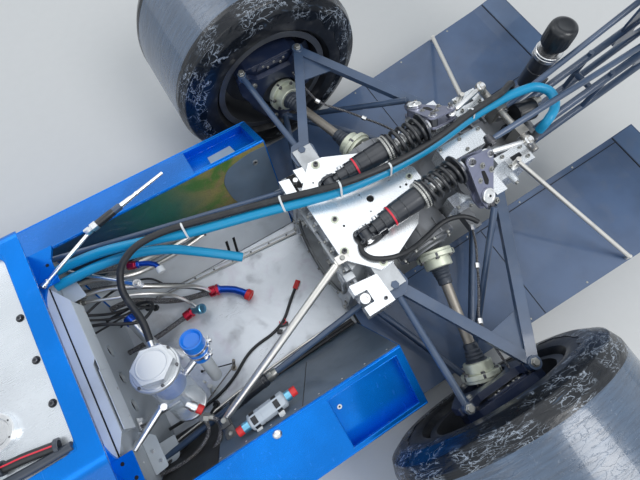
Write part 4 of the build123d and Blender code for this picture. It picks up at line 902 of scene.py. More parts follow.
damperFacts = {"front": (86, 75, 463), "rear": (-188, 63, 515), "coilStart": 160, "coilEnd": 248, "coils": 5,
               "wire": 4.6, "coilR": 30.0, "stepsPerCoil": 9, "teeth": 36,
               "knurls": ((145, 32.4), (153.2, 33.2))}
rockerFacts = {"pivot": (-201, 134, 458), "up": (-0.141, 0.604, 0.784), "capR": 18.6}


def makeDamper(side, sign):
    x, y, z = damperFacts["front"]
    front = at(x, y * sign, z)
    x, y, z = damperFacts["rear"]
    run = (at(x, y * sign, z) - front).normalized()
    out = run.orthogonal().normalized()
    low, high, wire, points = damperFacts["coilStart"], damperFacts["coilEnd"], damperFacts["wire"], []
    total = damperFacts["coils"] * damperFacts["stepsPerCoil"]
    for number in range(total + 1):
        flat = min(1, max(0, (number / total - 0.07) / 0.86))      # the end coils lie flat
        along = low + wire + 0.6 + (high - low - 2 * wire - 1.2) * flat
        spoke = Matrix.Rotation(2 * math.pi * number / damperFacts["stepsPerCoil"], 3, run) @ out
        spot = front + run * (along / 1000) + spoke * (damperFacts["coilR"] / 1000)
        points.append(((spot.x - carShift) * 1000, spot.y * 1000, spot.z * 1000))
    tube("spring" + side, points, wire, "spring_black", ("springs",) if sign > 0 else (), 4)
    bright, red, black, knurl = blanks(4)
    band(bright, front, run, 12.1, 12.5, low, high)
    turn(red, [(67, 24.6), (67, 25.35), (71.5, 25.45), (71.5, 24.6)], front, run, 40)
    turn(black, [(77.5, 23.5), (77.5, 25.2), (82, 25.9), (100, 26.1), (100, 25.2), (103, 25.2), (103, 26.3),
                 (140, 27.2), (140, 24)], front, run, 40)
    for start, size in damperFacts["knurls"]:
        for spoke in spokes(damperFacts["teeth"], run, out):
            middle = front + run * ((start + 3.1) / 1000) + spoke * (size / 1000)
            brick(knurl, middle, (5.6, 3.0, 1.7), facing(run, spoke), 0.4)
        turn(knurl, [(start, 26), (start, size - 0.6), (start + 0.8, size), (start + 5.4, size),
                     (start + 6.2, size - 0.6), (start + 6.2, 26)], front, run, 48)
    turn(black, [(low - 2.2, 22), (low - 2.2, 35.5), (low - 0.6, 36.5), (low - 0.2, 35.5), (low - 0.2, 22)],
         front, run, 44)
    turn(black, [(high - 1.0, 12), (high - 1.0, 35.5), (high, 36.6), (high + 3, 36.6), (high + 4, 35.5),
                 (high + 4, 14)], front, run, 44)
    turn(black, [(low + 52, 12), (low + 52, 17.5), (low + 56, 20), (low + 84, 20), (low + 84, 12)], front,
         run, 32)
    band(bright, front, run, 12.4, 15.4, low + 34, low + 46, 28)
    turn(bright, [(high + 6.2, 14), (high + 6.2, 26), (high + 8.2, 24), (high + 14, 14.6), (high + 19, 12.5)],
         front, run, 32)
    for spot, r in ((24, 18), (50, 22.6), (58, 22.6)):
        band(black, front, run, 17, r, spot, spot + 3, 36)
    spoke = Matrix.Rotation(math.radians(60), 3, run) @ out
    turn(bright, [(0, 0), (0, 6), (7, 6), (8, 5), (8, 0)], front + run * 0.036 + spoke * 0.015, spoke, 18)
    for way in (-1, 1):
        hexagon(bright, front + Vector((0, way * 0.0155, 0)), (0, way, 0), 15, 6)
    piece("damperBright" + side, bright, "bright")
    piece("damperRings" + side, knurl, "darkSilver")
    piece("damperRed" + side, red, "redLine")
    piece("damperBands" + side, black, "damper_black")


def makeRocker(side, sign):
    flip = Matrix.Diagonal((1, sign, 1))
    pivot, up = flip @ at(*rockerFacts["pivot"]), (flip @ Vector(rockerFacts["up"])).normalized()
    cap, dark, bolts = blanks(3)
    r = rockerFacts["capR"]
    turn(cap, [(14.2, 12), (14.2, r - 1), (15, r), (21.5, r), (23, r - 1.5), (23, 14), (22.2, 13), (22.2, 6),
               (22.2, 0)], pivot, up, 44)
    disc(cap, pivot, up, 5.4, 24.4, 24, 22.2)
    # the hex socket is a black hexagon: painted shade inside it
    turn(dark, [(24.4, 0), (24.4, 3.4), (25.4, 3.0), (25.4, 0)], pivot, up, 6)
    for spot, size in (((-188, 63, 515), 7), ((-245, 64, 504), 5.5), ((-205, 166, 462), 7)):
        reach = flip @ at(*spot) - pivot
        place = pivot + reach - up * up.dot(reach)
        boltHead(bolts, place + up * 0.0178, up, size)
        hexagon(bolts, place - up * 0.0178, -up, size * 1.6, 6)
        washer(cap, place + up * 0.0142, up, size * 0.8, size + 3, 1.6)
    piece("rockerCap" + side, cap, "bright")
    piece("rockerSocket" + side, dark, "shadeBlack")
    piece("rockerBolts" + side, bolts, "darkBolt")


bothSides(makeDamper)
bothSides(makeRocker)
print("springs, dampers and rockers dressed")


# top plate: bolts, holes, damper feet, ties round the hoses

plateFacts = {
    "topZ": 442.0,
    "bolts": [(83, -143, 8), (143, 79, 8), (82, 145, 6.5), (120, 2, 6.5), (-92, 0, 5.5)],
    "holes": [(113, -105, 2.2), (37, 28, 2.0), (110, 26, 3.0), (37, -21, 2.0), (-74, 14, 3.2), (66, 48, 2.0),
              (-20, -34, 2.2), (-44, -16, 1.8), (-58, 12, 2.4), (92, -52, 1.8)],
}
tieFacts = [  # where each tie runs round the water hose and the breather hose above it
    {"low": (207, -77, 463), "high": (207, -91, 479), "run": (1, -0.36, -0.2)},
    {"low": (82, -38, 477), "high": (82, -42, 502), "run": (1, -0.2, -0.1)},
    {"low": (-39, -22, 482), "high": (-39, -24, 504), "run": (1, 0, 0)},
    {"low": (-292, -40, 483), "high": (-292, -43, 503), "run": (1, 0.1, 0)},
    {"low": (424, -149, 432), "high": (424, -161, 450), "run": (1, -0.35, 0.1)},
]
hoseRs = {"low": 11.5, "high": 8}


def makePlateBolts():
    top, up = plateFacts["topZ"], (0, 0, 1)
    bolts, dark, seats = blanks(3)
    for x, y, size in plateFacts["bolts"]:
        washer(seats, at(x, y, top + 0.05), up, size * 0.7, size + 3.2, 1.2)
        capHead(bolts, dark, at(x, y, top + 1.0), up, size)
    # holes drawn as black discs: painted shade inside them
    for x, y, r in plateFacts["holes"]:
        disc(dark, at(x, y, top), up, r, 0.25, 16)
    disc(dark, at(20, 0, top - 5.6), up, 8.9, 0.3)
    piece("plateBolts", bolts, "darkBolt")
    piece("plateSeats", seats, "cream")
    piece("plateHoles", dark, "shadeBlack")


def makeDamperFoot(side, sign):
    base, bolts, dark = blanks(3)
    y = 75 * sign
    outline = [(104, y - 24), (110, y - 8), (106, y + 20), (72, y + 26), (30, y + 19), (26, y - 12),
               (60, y - 24)]
    levelSlab(base, outline, 442.0, 446.5, 7)
    for low, high in ((y - 14.6, y - 8.5), (y + 8.5, y + 14.6)):
        uprightSlab(base, [(106, 446), (104, 466), (94, 479), (80, 479), (58, 462), (40, 446)], low, high, 6)
    for x, across in ((96, -18), (94, 19), (44, 18), (42, -8)):
        capHead(bolts, dark, at(x, y + across, 446.0), (0, 0, 1), 5)
    uprightSlab(base, [(74, 454), (60, 474), (40, 474), (30, 460), (40, 448), (64, 446)], y - 6.5, y + 6.5, 4)
    piece("damperFoot" + side, base, "damper_black")
    piece("damperFootBolts" + side, bolts, "darkBolt")
    piece("damperFootSockets" + side, dark, "shadeBlack")


def makeTie(name, facts):      # a white tie holds the black hose on the blue one
    bm = bmesh.new()
    run = Vector(facts["run"]).normalized()
    low, high = at(*facts["low"]), at(*facts["high"])
    up = (high - low).normalized()
    side = run.cross(up).normalized()
    loops = []
    for depth in (-0.0024, 0.0024):
        ring = []
        for thick in (1.1, 0.15):
            for middle, r, start in ((high, hoseRs["high"], 0), (low, hoseRs["low"], math.pi)):
                for step in range(9):
                    angle = start + math.pi * step / 8
                    ring.append(middle + (side * math.cos(angle) + up * math.sin(angle)) *
                                ((r + thick) / 1000) + run * depth)
        loops.append([bm.verts.new(p) for p in ring])
    near, far = loops
    half = len(near) // 2
    for step in range(half):
        following = (step + 1) % half
        bm.faces.new((near[step], near[following], far[following], far[step]))
        bm.faces.new((near[half + step], far[half + step], far[half + following], near[half + following]))
        bm.faces.new((near[step], near[half + step], near[half + following], near[following]))
        bm.faces.new((far[step], far[following], far[half + following], far[half + step]))
    brick(bm, high + side * ((hoseRs["high"] + 2.2) / 1000), (6.5, 5, 5), facing(run, up), 0.5)
    piece(name, bm, "whitePart")


makePlateBolts()
bothSides(makeDamperFoot)
for number, facts in enumerate(tieFacts):
    makeTie("hoseTie" + str(number + 1), facts)
print("plate, damper feet and ties made")


# pipes, hoses' unions and brackets in the front corners of the bay, stays, cable and links

pipeTones = {"bare": "bare_steel_tube", "braid": "braided_steel", "hose": "black_hose"}
pipeRoutes = {      # kind, radius, points
    "bulkheadPipe1": ("bare", 7.0, [(736, -236, 336), (700, -238, 336), (650, -216, 334), (600, -197, 325),
                                    (556, -202, 302), (515, -214, 272), (470, -222, 250), (402, -236, 236)]),
    "bulkheadPipe2": ("bare", 6.6, [(736, -222, 316), (700, -222, 316), (650, -200, 312), (604, -184, 300),
                                    (560, -186, 280), (520, -200, 250), (470, -212, 226), (402, -228, 214)]),
    "bulkheadPipe3": ("bare", 5.0, [(736, -186, 326), (690, -182, 324), (640, -164, 318), (596, -146, 304),
                                    (560, -130, 280), (520, -118, 240), (486, -112, 190), (470, -112, 120),
                                    (468, -112, 57)]),
    "bulkheadPipe4": ("bare", 4.4, [(736, -170, 330), (700, -160, 330), (656, -140, 326), (612, -128, 318),
                                    (574, -112, 300), (544, -100, 262), (530, -96, 190), (526, -96, 57)]),
    "bulkheadPipe5": ("braid", 8.0, [(736, -222, 352), (696, -226, 352), (650, -214, 352),
                                     (612, -196, 350), (590, -187, 350)]),
    "bulkheadPipe6": ("braid", 7.6, [(736, -206, 290), (692, -200, 288), (640, -178, 276),
                                     (590, -158, 252), (540, -140, 216), (500, -128, 160),
                                     (486, -130, 100), (484, -132, 57)]),
    "heldWire1": ("hose", 3.6, [(736, -140, 330), (714, -132, 306), (694, -138, 246), (674, -156, 184),
                                (660, -170, 122), (655, -176, 57)]),
    "heldWire2": ("hose", 3.0, [(736, -128, 322), (706, -116, 296), (688, -124, 238), (666, -146, 170),
                                (644, -160, 110), (636, -164, 57)]),
    "heldWire3": ("hose", 4.2, [(736, -112, 316), (702, -98, 322), (664, -74, 316), (628, -62, 300),
                                (604, -78, 284), (594, -100, 262), (606, -126, 232), (650, -146, 206),
                                (700, -152, 190), (736, -152, 186)]),
    "heldWire4": ("hose", 3.0, [(736, -150, 300), (700, -170, 286), (660, -188, 262), (620, -200, 226),
                                (590, -206, 180), (580, -206, 120), (578, -204, 57)]),
    "heldWire5": ("hose", 2.6, [(736, -96, 296), (704, -110, 262), (690, -132, 206), (700, -150, 150),
                                (720, -150, 110), (736, -150, 96)]),
    "tankLine1": ("braid", 5.6, [(598, 208, 286), (576, 224, 284), (572, 248, 282), (596, 276, 281),
                                 (634, 292, 281), (690, 296, 284), (736, 288, 286)]),
    "tankLine2": ("braid", 4.6, [(610, 200, 262), (600, 224, 260), (612, 248, 260), (646, 266, 264),
                                 (692, 272, 270), (736, 264, 272)]),
    "floorLine1": ("hose", 6.6, [(736, 228, 168), (650, 214, 112), (520, 197, 78), (380, 187, 66),
                                 (240, 181, 63), (152, 178, 63)]),
    "floorLine2": ("hose", 4.6, [(736, 240, 196), (650, 226, 138), (520, 206, 98), (380, 197, 84),
                                 (240, 190, 78), (152, 188, 78)]),
    "floorLine3": ("bare", 3.4, [(736, 214, 142), (660, 200, 92), (540, 180, 64), (400, 168, 59),
                                 (260, 160, 59), (152, 158, 59)]),
    "floorLine4": ("hose", 3.6, [(736, 252, 228), (690, 240, 204), (640, 216, 150), (616, 190, 96),
                                 (604, 176, 57)]),
    "plateHose": ("hose", 6.0, [(104, 84, 449), (110, 96, 449), (111, 108, 449), (100, 128, 449),
                                (72, 144, 449), (44, 152, 446), (0, 152, 432), (-46, 143, 424),
                                (-93, 133, 424), (-128, 138, 428), (-158, 156, 430), (-172, 176, 420)]),
}


def makePipes():
    nuts, flanges = blanks(2)
    for name, (kind, r, route) in pipeRoutes.items():
        tube(name, route, r, pipeTones[kind], resolution=8)
        first, second, (x, y, z) = at(*route[0]), at(*route[1]), route[-1]
        if kind != "hose":
            hexagon(nuts, first, second - first, r * 2 + 7, 13)
            band(nuts, first, second - first, r, r + 1.6, 0, 22, 16)
        if z < 60:
            turn(flanges, [(-2, 0), (-2, 11), (1, 11), (2, 7.4), (6, 7.4), (6, 0)], at(x, y, 56), (0, 0, 1),
                 6)
    for y, z in ((-246, 236), (-238, 214)):
        brick(flanges, at(402, y, z), (14, 26, 15), soften=1)
    for x, y, z in ((240, 186, 65), (380, 192, 69)):
        brick(flanges, at(x, y, z), (9, 34, 18), soften=2)
    piece("pipeNuts", nuts, "darkSilver")
    piece("pipeClips", flanges, "blackCap")


def makeBayFittings():
    red, blue, white, shelves, silver = blanks(5)
    start, end = at(590, -187, 350), at(566, -178, 350)
    ahead = (end - start).normalized()
    turn(red, [(0, 0), (0, 9.2), (1.4, 10), (17, 10), (18, 9), (22, 9), (22, 0)], start, ahead, 6)
    elbowRing(blue, [start + ahead * 0.021, start + ahead * 0.034, at(544, -168, 349), at(532, -158, 347),
                     at(527, -146, 344)], 6.6)
    turn(blue, [(0, 0), (0, 9), (5, 9), (6, 8), (6, 0)], start + ahead * 0.022, ahead, 6)
    turn(white, [(0, 0), (0, 9.4), (1, 10.2), (14, 10.2), (15.5, 8.6), (15.5, 0)], at(527, -148, 345),
         (-1, 20, -3), 24)
    low, high = at(664, -106, 248), at(636, 0, 248)
    disc(silver, low, high - low, 14, 104, 36)
    turn(blue, [(-2, 0), (-2, 15), (0, 16.4), (17, 16.4), (18, 15.6), (18, 0)], low, high - low, 36)
    bar(silver, at(637, -6, 250), at(630, 2, 56), 12, 28, 1)
    levelSlab(shelves, [(736, -230), (700, -206), (690, -156), (736, -156)], 378, 379.6, 4)
    levelSlab(shelves, [(736, 158), (704, 186), (704, 258), (736, 262)], 298, 299.6, 4)
    levelSlab(shelves, [(736, 262), (700, 250), (690, 232), (690, 200), (736, 200)], 220, 221.6, 4)
    for x, y in ((722, 214), (714, 240), (724, 176)):
        turn(silver, [(0, 0), (0, 4.4), (3, 4.0), (3, 0)], at(x, y, 299.6), (0, 0, 1), 6)
    near, far = at(656, 149, 346), at(737, 196, 352)
    bar(silver, far, near, 8, 28, 1)
    boltHead(silver, at(648, 150, 354), (-0.3, 0.2, 1), 8)
    disc(silver, near, at(640, 140, 345) - near, 11, 4)
    piece("bayRedNut", red, "redPart")
    piece("bayBlueElbows", blue, "red_blue_anodised")
    piece("bayWhiteCap", white, "whitePart")
    piece("bayShelves", shelves, "tub_aluminium")
    piece("bayPipes", silver, "bright")


def makeStay(side, sign):
    rear, front = at(168, 92 * sign, 434), at(560, 240 * sign, 296)
    length = (front - rear).length * 1000
    rod, foot, bolts = blanks(3)
    turn(rod, [(-4, 0), (-4, 6), (4, 8), (12, 9), (length - 26, 9), (length - 18, 8), (length, 7),
               (length, 0)], rear, front - rear, 36)
    brick(rod, at(156, 90 * sign, 444.0), (32, 20, 4), soften=0.8)
    disc(rod, rear, (0, 0, 1), 8.5, 9, 20, -9)
    brick(foot, at(560, 266 * sign, 294), (26, 66, 8), soften=1)
    brick(foot, at(560, 246 * sign, 300), (22, 20, 14), soften=1.5)
    for x, y, z, size in ((156, 90, 446, 6.5), (560, 240, 306, 6.5), (560, 272, 298, 5)):
        boltHead(bolts, at(x, y * sign, z), (0, 0, 1), size)
    piece("bayStay" + side, rod, "bare_steel_tube", stands=("engine_bay_stays",) if sign > 0 else ())
    piece("bayStayFoot" + side, foot, "damper_black")
    piece("bayStayBolts" + side, bolts, "darkSilver")


def makeCableAndLinks():
    silver, black, ferrule = blanks(3)
    a, b, c, d = at(750, -206, 421), at(600, -282, 421), at(530, -300, 420), at(410, -331, 418)
    bar(silver, a, b, 4.4, 20)
    turn(silver, [(-2, 0), (-2, 6.8), (14, 6.4), (16, 5), (16, 0)], a, b - a, 16)
    turn(ferrule, [(-26, 0), (-26, 8.4), (-24, 9.6), (-12, 9.6), (-11, 8), (-9, 8), (-8, 11), (6, 11),
                   (7, 9.4), (7, 0)], b, c - b, 8)
    turn(black, [(4, 0), (4, 9.5), (40, 9.6), (66, 8.4), (74, 6.4), (74, 0)], b, c - b, 28)
    turn(silver, [(-2, 0), (-2, 6.6), (30, 5.8), (34, 4.6), (126, 4.0), (126, 0)], c, d - c, 20)
    disc(ferrule, c, d - c, 5.4, 50, 12, 44)
    e, f = at(738, -261, 368), at(582, -125, 368)
    bar(silver, e, f + (e - f).normalized() * 0.010, 5.5, 20)
    turn(ferrule, [(-10, 0), (-10, 9.4), (-9, 10.4), (9, 10.4), (10, 9.4), (10, 0)], f, (0, 0, 1), 28)
    turn(silver, [(-12.5, 0), (-12.5, 5), (-10, 6.4), (10, 6.4), (12.5, 5), (12.5, 0)], f, (0, 0, 1), 6)
    turn(ferrule, [(10, 0), (10, 8), (30, 7.2), (30, 0)], f, e - f, 6)
    for sign in (-1, 1):
        low, high = at(-354, 88 * sign, 504), at(-245, 64 * sign, 504)
        turn(silver, [(16, 0), (16, 5.2), (22, 6.6), (88, 6.6), (94, 5.2), (94, 0)], low, high - low, 20)
        for spot in (low, high):
            turn(silver, [(-7, 4), (-7, 9.6), (-5.6, 10.8), (5.6, 10.8), (7, 9.6), (7, 4)], spot, (0, 0.1, 1),
                 28)
            disc(ferrule, spot, (0, 0.1, 1), 5.4, 9.5, 6, -9.5)
    piece("cableSilver", silver, "bright")
    piece("cableSleeve", black, "blackCap")
    piece("cableFerrules", ferrule, "bright")


def makeBraceSleeve():
    dark, ring = blanks(2)
    start, run = at(734, 236, 215), at(146, 180, 284) - at(734, 236, 215)
    turn(dark, [(196, 0), (196, 12), (200, 15.4), (300, 15.4), (304, 12), (304, 0)], start, run, 32)
    for along in (206, 216, 226, 286, 294):
        band(dark, start, run, 15, 16.4, along, along + 4)
    turn(ring, [(304, 0), (304, 13), (306, 14), (318, 14), (320, 12), (330, 9.6), (330, 0)], start, run, 32)
    piece("braceSleeve", dark, "damper_black")
    piece("braceRing", ring, "darkSilver")


makePipes()
makeBayFittings()
bothSides(makeStay)
makeCableAndLinks()
makeBraceSleeve()
print("pipes, stays and links made")


# machined towers, castings of the bell housing and gearbox, black slabs over the rockers' edges with their
# painted shadow

bellFacts = {"face": (148, 0, 220), "openR": 111, "boltR": 0.1176}
flangeFacts = {"x": -66, "y": 149, "z": 335, "boltR": 0.068, "ribR": 0.070}


def makeTower(side, sign):
    block, dark, steel = blanks(3)
    if sign > 0:
        bolts = bmesh.new()
        levelSlab(block, [(177, 150), (108, 158), (106, 228), (174, 229), (174, 207), (147, 207), (147, 177),
                          (177, 175)], 404, 436.5, 1.5)
        turn(steel, [(0, 0), (0, 12.5), (30, 12.5), (31, 11.5), (31, 6), (28, 5.4), (28, 0)],
             at(160, 191, 402), (0, 0, 1), 32)
        capHead(bolts, dark, at(122, 214, 436.4), (0, 0, 1), 5.5)
        piece("towerBolts" + side, bolts, "darkBolt")
    else:
        levelSlab(block, [(181, -153), (155, -147), (158, -82), (182, -86)], 408, 436.2, 1)
        levelSlab(block, [(136, -162), (112, -158), (112, -118), (136, -120)], 404, 436.2, 1)
        # a black block between the tower's blocks: painted shade in the pocket
        levelSlab(dark, [(157, -160), (134, -158), (134, -112), (157, -112)], 404, 424, 1)
        disc(steel, at(146, -132, 424), (0, 0, 1), 6, 22)
    levelSlab(block, [(106, 100), (106, 150), (60, 158), (60, 100)], 398, 435.4, 1.5, sign)
    piece("tower" + side, block, "machined_plate")
    piece("towerDark" + side, dark, "shadeBlack")
    piece("towerPin" + side, steel, "bright")


def makePivot(side, sign):      # the wishbone's front pivot plate with its bolt
    plate, bolts = blanks(2)
    levelSlab(plate, [(118, 166), (58, 170), (54, 206), (76, 228), (104, 226), (120, 200)], 424.5, 429, 7,
              sign)
    disc(bolts, at(88, 200 * sign, 429), (0, 0, 1), 12, 1.2, 28)
    hexagon(bolts, at(88, 200 * sign, 430.2), (0, 0, 1), 17, 8)
    piece("pivotPlate" + side, plate, "black_steel")
    piece("pivotBolt" + side, bolts, "black_steel")


def makeBellCastings():
    cast, bolts, dark = blanks(3)
    ahead, face = Vector((1, 0, 0)), at(*bellFacts["face"])
    for sign in (-1, 1):
        for x, y, z, size, soften in ((151, 141, 248, (8, 16, 310), 1.5), (156, 66, 378, (20, 100, 8), 1.5),
                                      (160, 128, 410, (26, 18, 18), 2), (158, 112, 350, (22, 26, 34), 3),
                                      (110, 152, 330, (60, 8, 60), 2)):
            brick(cast, at(x, sign * y, z), size, soften=soften)
        for z in (120, 180, 330, 384):
            boltHead(bolts, at(154.6, sign * 141, z), ahead, 7)
            turn(cast, [(-6, 0), (-6, 12), (3.4, 11.4), (3.4, 0)], at(151, sign * 141, z), ahead, 24)
        for y in (24, 52, 80, 108):
            brick(cast, at(152, sign * y, 397), (12, 12, 26), soften=1.5)
            socketHead(bolts, at(157.4, sign * y, 400), ahead, 5.5)
        turn(cast, [(0, 0), (0, 13), (18, 12), (18, 0)], at(148, sign * 60, 352), ahead, 24)
        hexagon(bolts, at(166, sign * 60, 352), ahead, 15, 7)
        for x in (90, 128):
            socketHead(bolts, at(x, sign * 155, 344), (0, sign, 0), 6)
    turn(cast, [(0, 113), (0, 122), (4, 124), (9, 122), (9, 113)], face, ahead, 72)
    # a black disc deep in the bell's opening: painted shade inside the bore
    disc(dark, face, ahead, bellFacts["openR"], -79, 60, -80)
    for out in spokes(12, ahead, Vector((0, 1, 0))):
        socketHead(bolts, face + ahead * 0.0086 + out * bellFacts["boltR"], ahead, 5)
    turn(bolts, [(-79, 0), (-79, 92), (-70, 92), (-66, 70), (-62, 40), (-58, 30), (-40, 28), (-40, 14),
                 (-10, 13), (-10, 0)], face, ahead, 60)
    piece("bellCastings", cast, "lightCast")
    piece("bellBolts", bolts, "darkSilver")
    piece("bellDark", dark, "shadeBlack")


def makeGearboxDetails():
    cast, bolts, dark, plates = blanks(4)
    for x in (-196, -312, -254):
        for y in (-16, 16):
            socketHead(bolts, at(x, y, 450), (0, 0, 1), 5.5)
    for sign in (-1, 1):
        out, hub = Vector((0, sign, 0)), at(flangeFacts["x"], sign * flangeFacts["y"], flangeFacts["z"])
        for x in (-300, -340, -380, -420, -460):
            brick(cast, at(x, sign * 56, 398), (6, 34, 14), soften=1.5)
        for spoke in spokes(8, out, Vector((1, 0, 0))):
            socketHead(bolts, hub + out * 0.001 + spoke * flangeFacts["boltR"], out, 6)
        turn(cast, [(0, 0), (0, 60), (6, 58), (10, 46), (14, 44), (14, 0)], hub, out, 56)
        for number in range(10):
            turned = Matrix.Rotation(-2 * math.pi * number / 10, 4, "Y")
            brick(cast, hub - out * 0.021 + turned.to_3x3() @ Vector((flangeFacts["ribR"], 0, 0)),
                  (22, 42, 5), turned, 1.0)
        for x, z in ((-170, 395), (-236, 396), (-170, 334), (-236, 334)):
            socketHead(bolts, at(x, sign * 115.6, z), out, 6)
        for x, y in ((-310, 108), (-366, 108), (-310, 78), (-366, 78)):
            socketHead(bolts, at(x, sign * y, 451.6), (0, 0, 1), 6)
        levelSlab(dark, [(-326, 88), (-326, 100), (-356, 100), (-356, 88)], 451.8, 452.1, 2, sign)
        uprightSlab(plates, [(-290, 360), (-290, 418), (-262, 418), (-262, 396), (-276, 396), (-276, 360)],
                    sign * 119, sign * 123, 2)
        turn(plates, [(0, 0), (0, 9), (16, 9), (17, 8), (17, 0)], at(-340, sign * 119.6, 392), out, 28)
        socketHead(bolts, at(-340, sign * 136.4, 392), out, 6)
    for y, z in ((0, 300), (30, 250), (-30, 250), (34, 352), (-34, 352)):
        boltHead(bolts, at(-500, y, z), (-1, 0, 0), 6)
    turn(dark, [(0, 0), (0, 26), (4, 28), (52, 28), (56, 24), (56, 0)], at(-440, -10, 424), (-1, 0.15, 0), 36)
    brick(dark, at(-420, 16, 412), (60, 34, 30), soften=4)
    turn(bolts, [(0, 0), (0, 14), (18, 13), (20, 8), (34, 8), (34, 0)], at(-496, -18, 424), (-1, 0.15, 0), 24)
    turn(cast, [(0, 0), (0, 17), (2, 18), (22, 18), (24, 15), (24, 0)], at(-420, -42, 392), (0, 0, 1), 30)
    hexagon(bolts, at(-420, -42, 416), (0, 0, 1), 22, 9)
    piece("gearCastings", cast, "cast_magnesium")
    piece("gearBolts", bolts, "darkSilver")
    piece("gearDark", dark, "blackCap")
    piece("gearMachined", plates, "machined_plate")


def rockerSpot(x, y, sign, lift):      # a place over the rocker's middle plane, from its plan position
    up = Vector(rockerFacts["up"])
    px, py, pz = rockerFacts["pivot"]
    z = pz - ((x - px) * up.x + (y - py) * up.y) / up.z
    return Matrix.Diagonal((1, sign, 1)) @ (at(x, y, z) + up * (lift / 1000))


def makeRockerEdgeShadow(side, sign):
    edgeAndShadow, bolts, dark, rings = blanks(4)
    up = Matrix.Diagonal((1, sign, 1)) @ Vector(rockerFacts["up"])
    # a black slab along the rocker's bitten edge: partly the edge itself, partly its painted shadow
    outline = [(-166, 56), (-150, 66), (-141, 84), (-143, 104), (-154, 116), (-168, 120), (-166, 110),
               (-158, 98), (-158, 84), (-164, 74), (-174, 70)]
    slab(edgeAndShadow, [rockerSpot(p.x, p.y, sign, -13) for p in softCorners(outline, 5, 3)], up * 0.018)
    for x, y, size in ((-214, 78, 5), (-236, 92, 5), (-224, 152, 5.5), (-196, 102, 4)):
        spot = rockerSpot(x, y, sign, 14.2)
        disc(rings, spot, up, size + 2.6, 0.8, 20)
        capHead(bolts, dark, spot + up * 0.0006, up, size)
    # the recess is a thin black patch: painted shade
    recess = softCorners([(-206, 86), (-216, 88), (-220, 108), (-214, 116), (-206, 112)], 3)
    slab(dark, [rockerSpot(p.x, p.y, sign, 14.1) for p in recess], up * 0.0004)
    piece("rockerShield" + side, edgeAndShadow, "damper_black")
    piece("rockerCaps" + side, bolts, "darkSilver")
    piece("rockerRings" + side, rings, "darkSilver")
    piece("rockerDark" + side, dark, "shadeBlack")


bothSides(makeTower)
bothSides(makePivot)
makeBellCastings()
makeGearboxDetails()
bothSides(makeRockerEdgeShadow)
print("castings and towers made")


# side pods: raw laminate and grey panels on the inner walls, patch, lips and pins

podFacts = {"lipR": 2.2, "wallSlope": 0.37578, "wallFoot": 190.3, "topSlope": 0.604, "topZ": 372, "topY": 311,
            "recess": 34}


def wallY(z):
    return podFacts["wallFoot"] + (z - 50) * podFacts["wallSlope"]


def wallSpot(x, z, sign, lift=0.0):      # a place on the inner wall of a pod, and the way that the wall faces
    inward = Vector((0, -sign, podFacts["wallSlope"])).normalized()
    return at(x, wallY(z) * sign, z) + inward * (lift / 1000), inward


def wallSlab(bm, outline, sign, lift, thick, radius=0.0):      # outline of (x, z) on the inner wall of a pod
    spots = [wallSpot(p.x, p.y, sign, lift) for p in softCorners(outline, radius)]
    slab(bm, [spot for spot, inward in spots], spots[0][1] * (thick / 1000))


def podTop(y):
    return podFacts["topZ"] - podFacts["topSlope"] * (y - podFacts["topY"])


def recessSpot(x, y, sign, lift=0.0):      # a place on the floor of a pod's recess
    outward = Vector((0, podFacts["topSlope"] * sign, 1)).normalized()
    return at(x, y * sign, podTop(y) - podFacts["recess"]) + outward * (lift / 1000), outward


def makeRightWall():
    laminate, grey, seam, bolts, metal = blanks(5)
    wallSlab(laminate, [(732, 190), (732, 369), (144, 369), (144, 300), (270, 215), (420, 190)], -1, 0.3, 1.4)
    wallSlab(grey, [(144, 206), (144, 359), (196, 361), (262, 346), (286, 316), (284, 262), (262, 206)], -1,
             1.8, 1.6, [0, 5, 30, 34, 34, 26, 0])
    wallSlab(metal, [(144, 57), (144, 206), (380, 226), (732, 226), (732, 57)], -1, 0.4, 1.3)
    for x in range(160, 700, 45):
        spot, inward = wallSpot(x, 196, -1, 1.9)
        rivet(bolts, spot, inward, 2.2)
    spot, inward = wallSpot(184, 326, -1, 3.4)
    washer(bolts, spot, inward, 3.5, 8, 1.2)
    # the hole is a black disc: painted shade inside it
    disc(seam, spot, inward, 3.4, 1.3, 16)
    wallSlab(seam, [(286, 206), (284, 208), (380, 238), (382, 236)], -1, 1.8, 0.4)
    for x in (360, 336):
        wallSlab(seam, [(x, 122), (x - 8, 122), (x + 2, 58), (x + 10, 58)], -1, 1.9, 0.5)
    piece("rightWallLaminate", laminate, "laminate")
    # the lower sheet takes the paler, painted-light copy of the sheet
    piece("rightWallSheet", metal, "litPaleSheet")
    piece("rightWallGrey", grey, "greyInner")
    piece("rightWallHole", seam, "shadeBlack")
    piece("rightWallBolts", bolts, "bright")


def makeLeftWall():
    grey, seam, bolts = blanks(3)
    wallSlab(grey, [(143, 57), (143, 369), (592, 369), (592, 57)], 1, 0.3, 1.4)
    wallSlab(seam, [(593, 57), (593, 369), (735, 369), (735, 57)], 1, 0.3, 1.2)
    for x in range(168, 590, 60):
        spot, inward = wallSpot(x, 358, 1, 1.7)
        rivet(bolts, spot, inward, 2.4)
    wallSlab(seam, [(330, 120), (332, 120), (392, 366), (390, 366)], 1, 1.7, 0.4)
    piece("leftWallGrey", grey, "greyInner")
    piece("leftWallDark", seam, "black_panel")
    piece("leftWallRivets", bolts, "bright")


